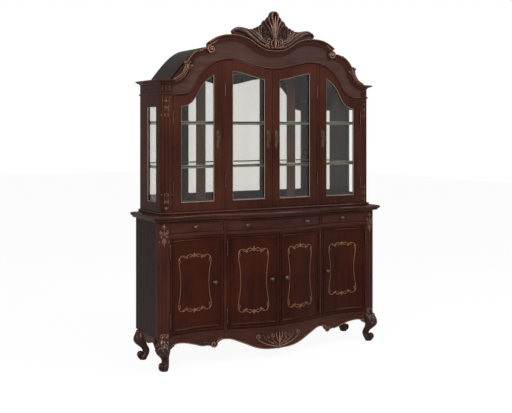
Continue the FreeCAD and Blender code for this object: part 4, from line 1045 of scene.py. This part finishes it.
def opening(x0, x1, z0, count=46):
    """Outline of an arched glass opening, clockwise from its lower left corner."""
    line = arch_line(0.066, 421)
    top = line[(line[:, 0] > x0 + 0.001) & (line[:, 0] < x1 - 0.001)]
    keep = np.unique(np.linspace(0, len(top) - 1, count).astype(int))
    ends = height_at(line, np.array([x0, x1]))
    return np.vstack([(x0, z0), (x0, ends[0]), top[keep], (x1, ends[1]), (x1, z0)])


def rococo_pull(x, z):
    """A cast pull: a pierced leafy plate with scrolled ends, and a bowed handle held by two posts."""
    half = cut([(0.0, 0.0), (0.0065, 0.012), (0.005, 0.026), (0.0075, 0.036)],
               [0.0022, 0.003, 0.003, 0.0022])
    cuts = [half]
    cuts += curl((0.0045, 0.04), 0.0065, -40, 1.1, 0.0024)
    cuts += curl((0.007, 0.02), 0.0048, 200, -1.0, 0.0019)
    cuts += [cut([(0.002, 0.036), (0.006, 0.048), (0.001, 0.056)], [0.0024, 0.003, 0.0014])]
    cuts += mirror(cuts)
    cuts += [(line * (1, -1), *rest) for line, *rest in cuts]
    cuts += [cut([(0.0, -0.05), (0.0, 0.05)], [0.0034, 0.0034], 0.6, 0, 1, smooth=False)]
    cuts += rosette(np.array((0.0, 0.036)), 0.0075, 5, 1.0, 0.001) + rosette(np.array((0.0, -0.036)),
                                                                             0.0075, 5, 1.0, 0.001)
    plate = carving(placed(cuts, x, z), 0.0009, flat_seat(HUTCH_FACE), 0.0008)
    bow = spline([(0.0, 0.034), (0.0, 0.03), (0.0, 0.016), (0.0, 0.0), (0.0, -0.016), (0.0, -0.03),
                  (0.0, -0.034)], 40)
    out = np.interp(bow[:, 1], [-0.034, -0.026, -0.012, 0.0, 0.012, 0.026, 0.034],
                    [0.004, 0.017, 0.0225, 0.0235, 0.0225, 0.017, 0.004])
    path = np.stack([np.full(40, x), HUTCH_FACE - out, z + bow[:, 1]], axis=1)
    thick = 0.0026 + 0.0014 * np.abs(np.cos(np.linspace(-2.5, 2.5, 40) * np.pi)) ** 6
    thick[17:23] = 0.0048
    handle = rod(path, thick, 10, 1.0, (1.0, 0.0, 0.0))
    return [plate, handle + (np.ones(len(handle[0])),)]


# lower and upper hinge of each glass door, the lower one above the deck
HINGE_HEIGHTS = {"outer": (DECK + 0.139, SHOULDER - 0.134), "middle": (DECK + 0.177, SHOULDER + 0.04)}


def build_glass_doors():
    """Mouldings, pale lines painted as highlights on the glass edges, pulls and hinges on the four arched
    glass doors.
    """
    layout = (("outer", 0.414, 0.635, 0.387, OUTER_EDGE - 0.001),
              ("middle", 0.0545, 0.285, 0.03, PAIR_EDGE - 0.001))
    for part, x0, x1, pull_x, axis in layout:
        outline = upright(opening(x0, x1, DECK + 0.054), HUTCH_FACE)
        mould = run(outline[::-1], [(-a, b) for a, b in GLAZING], (0, -1, 0), True)
        # a pale strand round the glass: painted highlight on the glass edge
        line = run(outline[::-1], [(-a, b) for a, b in GLINT], (0, -1, 0), True)
        line = line + (np.full(len(line[0]), 0.95),)
        pull = rococo_pull(pull_x, DECK + 0.4315)
        hinges = [barrel_hinge(axis, HUTCH_FACE - 0.0043, z, 0.06) for z in HINGE_HEIGHTS[part]]
        for side, sign in SIDES:
            body = side + "_" + part + "_glass_door"
            piece(body + "_glazing_bead", body, CHERRY_UPRIGHT, on_side(sign, [mould]), ())
            piece(body + "_painted_highlight_line", body, PAINTED_HIGHLIGHT, on_side(sign, [line]), ())
            piece(body + "_pull_and_hinges", body, BRONZE, on_side(sign, hinges + pull[1:]),
                  [body + "_hardware"])
            piece(body + "_pull_plate", body, BRONZE, on_side(sign, pull[:1]), (), (0, -1, 0))


def build_side_glazing():
    """Mouldings round the glass of each hutch side, on its outside."""
    low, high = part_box("side_glass_panes")
    y0, y1, z0, z1 = float(low[1]), float(high[1]), float(low[2]), float(high[2])
    loop = [(HUTCH_HALF, y0, z0), (HUTCH_HALF, y0, z1), (HUTCH_HALF, y1, z1), (HUTCH_HALF, y1, z0)]
    mould = run(loop, [(-a, b) for a, b in GLAZING], (1, 0, 0), True)
    # a pale strand round the side glass: painted highlight on the glass edge
    line = run(loop, [(-a, b) for a, b in GLINT], (1, 0, 0), True)
    centre = np.array([HUTCH_HALF, (y0 + y1) / 2, (z0 + z1) / 2])
    if np.abs(mould[0] - centre)[:, 1].max() < (y1 - y0) / 2 + 0.01:
        mould = run(loop, GLAZING, (1, 0, 0), True)
        line = run(loop, GLINT, (1, 0, 0), True)
    line = line + (np.full(len(line[0]), 0.95),)
    piece("side_glazing_beads", "cabinet", CHERRY_UPRIGHT, [mould] + flip([mould]), ())
    piece("side_painted_highlight_lines", "cabinet", PAINTED_HIGHLIGHT, [line] + flip([line]), ())


CROWN = [(-0.04, -0.0005), (-0.0395, 0.0035), (-0.037, 0.0055), (-0.0345, 0.0055), (-0.0335, 0.0075),
         (-0.029, 0.0082), (-0.024, 0.01), (-0.0195, 0.0132), (-0.016, 0.0175), (-0.0142, 0.0215),
         (-0.0118, 0.0222), (-0.0112, 0.025), (-0.009, 0.0285), (-0.006, 0.0302), (-0.003, 0.03),
         (-0.0006, 0.028), (0.0004, 0.0245), (0.0, 0.0), (-0.004, -0.0005)]


GILT_LINE_AT = 0.84    # where the gilt line runs on the pediment moulding, as a share of its rise


def build_pediment():
    """Crown mouldings along the pediment, a gilt arris on each, the volutes, the cornices and the bead."""
    upper = upright(upper_line(0.0), HUTCH_FACE)
    wing = upright(wing_line(0.0), HUTCH_FACE)
    crown = [run(upper, CROWN, (0, -1, 0)), run(wing, CROWN, (0, -1, 0))]
    arris = []
    for line, low in ((upper, GILT_LINE_AT), (wing, GILT_LINE_AT)):
        edge = line + (0.0, -0.0288, -0.0012)
        strand = rod(edge, 0.0022, 6)
        arris.append(strand + (np.full(len(strand[0]), low),))
    crown += flip(crown[1:])
    arris += flip(arris[1:])
    hub = (PAIR_EDGE + 0.104, HUTCH_FACE, CORNICE_TOP + 0.192)
    t = np.linspace(0, 1, 60)
    angle = math.radians(75) - 2 * math.pi * 1.45 * t
    reach = 0.0215 * (1 - t) ** 0.8 + 0.004
    path = np.stack([hub[0] + reach * np.cos(angle), hub[1] - 0.024 - 0.006 * t,
                     hub[2] + reach * np.sin(angle)], axis=1)
    lead = np.array([(PAIR_EDGE + 0.06, hub[1] - 0.029, CORNICE_TOP + 0.2515),
                     (PAIR_EDGE + 0.085, hub[1] - 0.027, CORNICE_TOP + 0.234)])
    strand = rod(np.vstack([lead, path]), np.interp(np.linspace(0, 1, 62), [0, 0.15, 1],
                                                    [0.003, 0.0056, 0.0034]), 12)
    volute = [strand + (np.full(len(strand[0]), 0.8),)]
    boss = turned([(-0.002, 0.0), (-0.002, 0.026), (0.02, 0.0255), (0.024, 0.022), (0.025, 0.0)], hub,
                  (0, -1, 0), 28)
    volute.append(boss + (np.zeros(len(boss[0])),))
    eye = turned([(0.02, 0.0), (0.022, 0.007), (0.03, 0.0078), (0.035, 0.0055), (0.0365, 0.0)], hub,
                 (0, -1, 0), 16)
    volute.append(eye + (np.full(len(eye[0]), 0.95),))
    piece("pediment_crown", "cabinet", CHERRY_LEVEL, crown, ["pediment_moulding"])
    piece("pediment_arris", "cabinet", CARVED, arris, ())
    piece("pediment_volutes", "cabinet", CARVED, volute + flip(volute), ())

    plan = np.array([(HUTCH_HALF, REAR, 0.0), (HUTCH_HALF, HUTCH_FACE + 0.025, 0.0),
                     (OUTER_EDGE, HUTCH_FACE, 0.0)])
    low = SIDE_TOP
    crown_side = [(-0.068, low), (0.0, low), (0.0035, low + 0.0008), (0.006, low + 0.004),
                  (0.01, low + 0.0075),
                  (0.016, low + 0.0095), (0.0205, low + 0.011), (0.0215, low + 0.0128),
                  (0.0265, low + 0.0135),
                  (0.0305, low + 0.0155), (0.033, low + 0.019), (0.0318, low + 0.0222),
                  (0.029, low + 0.024), (-0.068, low + 0.024)]
    cornice = [run(plan, crown_side, (0, 0, 1))]
    piece("side_cornices_moulded", "cabinet", CHERRY_LEVEL, cornice + flip(cornice), ["side_cornices"])

    bead = [(a, b * 1.25) for a, b in arc(0.0, -0.0002, 0.0062, 0, 180, 9)]
    strips = [run(upright(arch_line(-0.0092), HUTCH_FACE), bead, (0, -1, 0))]
    round_case = plan + (0.0, 0.0, SHOULDER + 0.0092)
    returned = run(round_case, [(b, a) for a, b in bead], (0, 0, 1))
    strips += [returned] + flip([returned])
    piece("arch_bead_rounded", "cabinet", CHERRY_LEVEL, strips, ["arch_bead"])


def build_wing_leaves():
    """A sheath of acanthus over the foot of each pediment wing: ribs that follow the moulding up from the
    cornice and flare into curled tips on both sides of it, with a small leaf above."""
    line = wing_line(0.0, 120)
    way = unit(np.gradient(line, axis=0))
    out = np.stack([-way[:, 1], way[:, 0]], axis=1)
    cuts = []
    for start, shift, thick in ((72, 0.004, 0.0046), (68, -0.007, 0.005), (72, -0.018, 0.0044)):
        ridge = (line + out * shift)[start:118:4]
        cuts.append((ridge, np.linspace(thick, thick * 0.5, len(ridge)), 0.9, 0.003, 0.95))
    top = line[70]
    tilt = math.degrees(math.atan2(-way[70, 1], -way[70, 0]))
    flare = curl((0.01, -0.016), 0.0105, 150, -1.1, 0.0036, 0.95, 0.004,
                 [(-0.03, -0.004), (-0.006, -0.004)])
    flare += curl((0.01, 0.036), 0.0085, 210, 1.1, 0.0034, 0.95, 0.002, [(-0.026, 0.022), (-0.004, 0.026)])
    flare += frond((-0.02, 0.016), (0.036, 0.014), -0.003, 0.013, 3, 0.0042, 0.9, 0.004)
    flare += curl((0.024, -0.008), 0.007, 170, -1.0, 0.0028, 0.9, 0.004)
    cuts += placed(flare, top[0], top[1], 1.0, tilt)
    small = frond((0.0, 0.0), (0.03, -0.004), 0.003, 0.01, 3, 0.0036, 0.9, 0.003)
    at = line[6]
    cuts += placed(small, at[0] + 0.012, at[1] - 0.012, 1.0,
                   math.degrees(math.atan2(way[10, 1], way[10, 0])))
    shape = carving(cuts, 0.0015, flat_seat(HUTCH_FACE - 0.027), 0.022)
    piece("pediment_wing_leaves", "cabinet", CARVED, [shape] + flip([shape]), (), (0, -1, 0))


def crest_cuts():
    """Ridges of the crest, on its right half and then mirrored, with heights above the seat of the crest."""
    m = 0.001
    line = lambda points: np.array(points, float) * m
    half = [
        cut(line([(6, 16), (55, 20), (110, 45), (165, 82), (215, 112), (262, 124), (290, 116), (297, 98),
                  (280, 90)]),
            [0.006, 0.009, 0.01, 0.012, 0.014, 0.016, 0.013, 0.009, 0.006], 0.8, 0.004, 0.75, 60),
        cut(line([(30, 34), (80, 50), (130, 82), (175, 114), (215, 130), (255, 132), (283, 118)]),
            [0.004, 0.0065, 0.0075, 0.0085, 0.0085, 0.0075, 0.005], 0.9, 0.009, 0.8, 50),
        cut(line([(52, 52), (92, 70), (128, 98), (156, 122), (176, 128)]),
            [0.004, 0.006, 0.007, 0.0065, 0.004], 0.9, 0.007, 0.85, 34),
        cut(line([(70, 64), (104, 86), (128, 112), (143, 134)]),
            [0.003, 0.0055, 0.0065, 0.0045], 0.9, 0.006, 0.8, 28),
        cut(line([(84, 72), (106, 98), (116, 124), (119, 146)]),
            [0.003, 0.006, 0.0065, 0.0045], 0.9, 0.006, 0.85, 26),
        cut(line([(90, 78), (98, 108), (98, 136), (92, 160)]),
            [0.003, 0.0055, 0.006, 0.0042], 0.9, 0.005, 0.75, 24),
        cut(line([(10, 60), (24, 104), (52, 150), (66, 176), (62, 192)]),
            [0.004, 0.007, 0.0085, 0.008, 0.0045], 0.9, 0.006, 0.7, 34),
        cut(line([(7, 66), (16, 116), (32, 164), (44, 200), (38, 214)]),
            [0.004, 0.0075, 0.0085, 0.008, 0.0045], 0.9, 0.008, 0.85, 34),
        cut(line([(4, 70), (9, 130), (16, 184), (22, 222), (16, 238)]),
            [0.004, 0.007, 0.0085, 0.0095, 0.006], 0.9, 0.01, 0.9, 34),
        cut(line([(10, 18), (24, 34), (22, 58), (8, 68)]), [0.003, 0.005, 0.0045, 0.003], 0.9, 0.01, 1.0,
            22),
        cut(line([(12, 14), (40, 24), (66, 36), (74, 46)]), [0.004, 0.0055, 0.005, 0.003], 0.9, 0.009, 0.9,
            22), ]
    half += placed(curl((0.0, 0.0), 0.019, 200, -1.3, 0.0052, 0.95, 0.009), 0.045, 0.056)
    half += placed(curl((0.0, 0.0), 0.017, 120, -1.2, 0.0044, 0.7, 0.005), 0.066, 0.124)
    half += placed(curl((0.0, 0.0), 0.013, 60, 1.2, 0.0038, 0.7, 0.005), 0.076, 0.098)
    half += placed(curl((0.0, 0.0), 0.012, 250, -1.2, 0.0036, 0.7, 0.006), 0.044, 0.108)
    half += placed(curl((0.0, 0.0), 0.011, 20, 1.2, 0.0036, 0.65, 0.005), 0.084, 0.15)
    half += placed(frond((0.0, 0.0), (0.048, 0.008), 0.005, 0.012, 4, 0.0042, 0.75, 0.012), 0.226, 0.112)
    half += [cut(line([(18, 246), (28, 240), (31, 226)]), [0.007, 0.0085, 0.005], 0.8, 0.008, 0.55, 10)]
    cuts = half + mirror(half)
    cuts += [cut(line([(0, 84), (0, 130), (0, 178), (0, 214)]), [0.004, 0.008, 0.0075, 0.004], 1.0, 0.014,
                 1.0, 30),
             cut(line([(0, 18), (0, 42), (0, 68)]), [0.0075, 0.0115, 0.006], 1.0, 0.013, 1.0, 20),
             cut(line([(-22, 246), (0, 252), (22, 246)]), [0.008, 0.011, 0.008], 0.8, 0.01, 0.5, 16),
             cut(line([(-9, 78), (0, 70), (9, 78), (7, 100), (0, 112)]),
                 [0.003, 0.0045, 0.0045, 0.004, 0.003], 0.9, 0.011, 0.95, 20)]
    return cuts


def build_crest():
    """The pierced-looking crest: a closed slab between a lower and a scalloped upper line, its front raised
    by the highest ridge at each place and rounded off towards its edges."""
    seat = CREST_TOP - 0.252
    lower = np.array([(0, -10), (60, -10), (140, 27), (245, 66), (297, 92), (305, 106)]) * 0.001
    upper = np.array([(0, 252), (14, 249), (26, 241), (33, 228), (36, 216), (46, 212), (54, 203), (62, 191),
                      (74, 190), (84, 178), (88, 164), (98, 161), (108, 150), (120, 148), (128, 142),
                      (140, 139),
                      (152, 130), (166, 131), (182, 129), (205, 133), (230, 138), (258, 139), (282, 129),
                      (298, 117), (305, 106)]) * 0.001
    x = np.linspace(-0.305, 0.305, 381)
    low = np.interp(np.abs(x), *lower.T)
    high = np.interp(np.abs(x), *upper.T)
    share = np.concatenate([[0.0, 0.012, 0.03], np.linspace(0.05, 0.95, 120), [0.97, 0.988, 1.0]])
    up = low[:, None] + (high - low)[:, None] * share
    fine_x = np.arange(-0.312, 0.312, 0.0016)
    fine_up = np.arange(-0.02, 0.262, 0.0016)
    height, gold = relief(fine_x, fine_up, crest_cuts())
    i = np.clip((x - fine_x[0]) / 0.0016, 0, len(fine_x) - 1.001)
    j = np.clip((up - fine_up[0]) / 0.0016, 0, len(fine_up) - 1.001)
    i = np.broadcast_to(i[:, None], up.shape)
    i0, j0 = i.astype(int), j.astype(int)
    u, v = i - i0, j - j0
    blend = lambda f: (f[i0, j0] * (1 - u) * (1 - v) + f[i0 + 1, j0] * u * (1 - v)
                       + f[i0, j0 + 1] * (1 - u) * v + f[i0 + 1, j0 + 1] * u * v)
    raised = np.maximum(blend(height), -0.001)
    shine = blend(gold)
    rim = np.minimum(share, 1 - share)[None] * (high - low)[:, None]
    ends = np.minimum(0.305 - np.abs(x), 0.012)[:, None] / 0.012
    dome = np.sqrt(np.clip(1 - (1 - np.clip(rim / 0.009, 0, 1)) ** 2, 0, 1)) * np.sqrt(np.clip(ends, 0, 1))
    a = np.broadcast_to(x[:, None], up.shape)
    lean = 0.022 * np.clip(up / 0.25, 0, 1)
    front = -0.128 - dome * (raised + 0.004) + 0.0 * lean
    back = -0.118 + 0.006 * dome
    skin = shell(np.stack([a, front, seat + up], axis=-1), np.stack([a, back, seat + up], axis=-1))
    gilt = np.concatenate([(shine * dome).ravel(), np.zeros(up.size)])
    piece("crest_carved", "cabinet", CARVED, [skin + (gilt,)], ["crest_carving"])


def post_drop(length, width):
    """A leaf over an open flower, a husk below it with a pair of side curls, and a hanging tip."""
    k = width
    half = [cut([(0.0, -length * 0.02), (k * 0.12, -length * 0.1), (k * 0.3, -length * 0.16)],
                [k * 0.05, k * 0.085, k * 0.03], 0.9, 0, 0.9, 12)]
    half += curl((k * 0.27, -length * 0.34), k * 0.17, 100, -1.15, k * 0.07, 1.0, 0.0005)
    half += curl((k * 0.25, -length * 0.52), k * 0.14, 60, -1.1, k * 0.06, 0.95, 0.0005)
    half += [cut([(0.0, -length * 0.66), (k * 0.2, -length * 0.76), (k * 0.38, -length * 0.78),
                  (k * 0.5, -length * 0.73)], [k * 0.05, k * 0.06, k * 0.045, k * 0.055], 0.9, 0, 0.95, 16)]
    half += [cut([(0.0, -length * 0.58), (k * 0.15, -length * 0.68), (k * 0.13, -length * 0.8),
                  (0.0, -length * 0.92)], [k * 0.05, k * 0.07, k * 0.055, k * 0.03], 0.9, 0, 0.9, 16)]
    cuts = half + mirror(half)
    cuts += rosette(np.array((0.0, -length * 0.4)), k * 0.27, 6, 1.0, 0.0015)
    cuts += [cut([(0.0, 0.0), (0.0, -length * 0.1), (0.0, -length * 0.22)], [k * 0.04, k * 0.09, k * 0.05],
                 1.0, 0.001)]
    cuts += [cut([(0.0, -length * 0.62), (0.0, -length * 0.76), (0.0, -length * 1.0)],
                 [k * 0.05, k * 0.085, k * 0.03], 1.0, 0.001, 1.0, 16)]
    return cuts


def build_post_drops():
    """Gilt drops at the head of the buffet posts and at the head and foot of the hutch posts."""
    def seat(start, end):
        start, end = np.array(start, float), np.array(end, float)
        along = (end - start) / np.linalg.norm(end - start)
        out = np.array([along[1], -along[0]])
        middle = (start + end) / 2
        return lambda a, b, h: np.stack([middle[0] + a * along[0] + h * out[0],
                                         middle[1] + a * along[1] + h * out[1], b], axis=-1)
    hutch = seat((OUTER_EDGE, HUTCH_FACE), (HUTCH_HALF, HUTCH_FACE + 0.025))
    buffet = seat((BAY_EDGE, STILE_FACE), (BUFFET_HALF, STILE_FACE + 0.014))
    head = carving(placed(post_drop(0.135, 0.062), 0.0, SHOULDER - 0.02), 0.0011, hutch, 0.001)
    foot_cuts = [(line * (1, -1), *rest) for line, *rest in post_drop(0.125, 0.062)]
    foot = carving(placed(foot_cuts, 0.0, DECK + 0.012), 0.0011, hutch, 0.001)
    top = carving(placed(post_drop(0.135, 0.062), 0.0, CASE_TOP - 0.018), 0.0011, buffet, 0.001)
    base = carving(placed(post_drop(0.05, 0.06), 0.0, CASE_BOTTOM + 0.038), 0.0011, buffet, 0.001)
    shapes = [head, foot, top, base]
    for side, sign in SIDES:
        piece(side + "_post_drops", "cabinet", CARVED, on_side(sign, shapes), (), (0, -1, 0))


STRIP_AT = 0.345                 # middle of a mirror strip, from the centre of the cabinet
STRIP_HALF = 0.033               # half its width at the mirror
STRIP_FLAT = 0.03               # half its width across the face


def build_shelf_edges():
    """Deep polished edges round the glass shelves, each with a pale line painted as its highlight, and
    strips of light warm cherry that part the mirror into three as a painted reflection of the mullions, lit
    warm.
    """
    low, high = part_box("glass_shelves")
    x, front, rear = float(high[0]), float(low[1]), float(high[1])
    edges, lights = [], []
    for top in (float(low[2]) + 0.006, float(high[2])):
        path = np.array([(x, rear - 0.002, top), (x, front, top), (-x, front, top),
                         (-x, rear - 0.002, top)])
        rim = [(-0.0062, -0.015), (-0.001, -0.015), (0.0, -0.0135), (0.0, 0.0015), (-0.001, 0.003),
               (-0.0062, 0.003)]
        edges.append(run(path, rim, (0, 0, 1)))
        # a pale strand along each shelf edge: painted highlight
        glint = [(a - 0.0012, b + 0.003) for a, b in arc(0.0, 0.0, 0.0013, 0, 315, 8)]
        strip = run(path, glint, (0, 0, 1))
        lights.append(strip + (np.full(len(strip[0]), 0.95),))
    piece("shelf_edges_polished", "cabinet", SHELF_EDGE, edges, ())
    piece("shelf_edge_painted_highlights", "cabinet", PAINTED_HIGHLIGHT, lights, ())
    front = float(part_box("mirror")[0][1])
    # strips of light warm cherry on the mirror: painted reflection of the mullions, lit warm
    z = np.linspace(DECK, height_at(arch_line(0.0), STRIP_AT) - 0.01, 30)
    section = np.array([(-STRIP_HALF, 0.0), (-STRIP_HALF, -0.004), (-STRIP_FLAT, -0.007),
                        (STRIP_FLAT, -0.007), (STRIP_HALF, -0.004), (STRIP_HALF, 0.0)])
    rings = np.stack([np.broadcast_to(STRIP_AT + section[:, 0], (30, 6)),
                      np.broadcast_to(front + section[:, 1], (30, 6)),
                      np.broadcast_to(z[:, None], (30, 6))], axis=-1)
    strip = shaft(rings)
    piece("mirror_strips_painted_reflection", "cabinet", CHERRY_PAINTED_REFLECTION, [strip] + flip([strip]), ())


# ---- parts kept from the frame -----------------------------------------------------------------
def build_floor():
    """A pale studio floor that reads white to the eye and keeps a soft shadow."""
    floor = bpy.data.materials.new("studio_floor")
    floor.use_nodes = True
    tree = floor.node_tree
    tree.nodes.clear()
    rays = add(tree, "ShaderNodeLightPath").outputs
    seen = add(tree, "ShaderNodeMath", {0: rays["Is Camera Ray"], 1: rays["Is Glossy Ray"]},
               operation="MAXIMUM")
    also = add(tree, "ShaderNodeMath", {0: seen.outputs[0], 1: rays["Is Transmission Ray"]},
               operation="MAXIMUM")
    keep = add(tree, "ShaderNodeMath", {0: rays["Is Transmission Ray"], 1: 0.06, 2: 0.93},
               operation="MULTIPLY_ADD")
    part = add(tree, "ShaderNodeMath", {0: also.outputs[0], 1: keep.outputs[0]}, operation="MULTIPLY")
    matt = add(tree, "ShaderNodeBsdfDiffuse", {"Color": linear("#f4f4f4")})
    plain = add(tree, "ShaderNodeMath", {0: rays["Is Camera Ray"], 1: rays["Is Transmission Ray"]},
                operation="MAXIMUM")
    level = add(tree, "ShaderNodeMath", {0: plain.outputs[0], 1: 1 - ROOM_SHINE, 2: ROOM_SHINE},
                operation="MULTIPLY_ADD")
    white = add(tree, "ShaderNodeEmission", {"Color": (1, 1, 1, 1), "Strength": level.outputs[0]})
    mixed = add(tree, "ShaderNodeMixShader", {0: part.outputs[0], 1: matt.outputs[0], 2: white.outputs[0]})
    add(tree, "ShaderNodeOutputMaterial", {"Surface": mixed.outputs[0]})
    x, y = np.meshgrid(np.linspace(-14, 14, 3), np.linspace(-14, 22, 3), indexing="ij")
    points, faces = sheet(np.stack([x, y, np.full(x.shape, -0.0005)], axis=-1))
    mesh = bpy.data.meshes.new("studio_floor")
    mesh.from_pydata(points.tolist(), [], faces)
    mesh.materials.append(floor)
    ground = bpy.data.objects.new("studio_floor", mesh)
    bpy.context.scene.collection.objects.link(ground)


camera()
studio()
build_floor()
build_buffet_boards()
build_posts()
build_cupboards()
build_drawers()
build_aprons()
build_legs()
build_glass_doors()
build_side_glazing()
build_pediment()
build_wing_leaves()
build_crest()
build_post_drops()
build_shelf_edges()
GLASS_DOORS = [s + "_" + p + "_glass_door" for s in ("left", "right") for p in ("outer", "middle")]
dress([d + "_frame" for d in GLASS_DOORS], CHERRY_UPRIGHT, 0.0014)
dress([d + "_pane" for d in GLASS_DOORS] + ["side_glass_panes"], CLEAR_GLASS)
dress(["glass_shelves"], SHELF_GLASS)
dress(["mirror"], MIRROR_GLASS)
dress(["hutch_side_frames", "hutch_mullions", "buffet_stiles"], CHERRY_UPRIGHT, 0.0012)
# the darker cherry on the case sides and on the roof is painted shade
dress(["buffet_sides"], CHERRY_SHADED_SIDE, 0.0012)
dress(["bonnet_roof"], CHERRY_SHADED_SIDE)
dress(["buffet_rails"], CHERRY_LEVEL)
dress(["pediment_board"], CHERRY_FRIEZE)
dress(["buffet_back_panel", "hutch_back_panel"], BACK_TIMBER)
dress(["buffet_floor_board", "buffet_partitions", "cupboard_shelves", "drawer_dust_boards", "drawer_guides",
       "left_drawer_box", "middle_drawer_box", "right_drawer_box"], INNER_TIMBER)
dress(["fixed_hinge_leaves", "shelf_supports"], HINGE_BRASS)
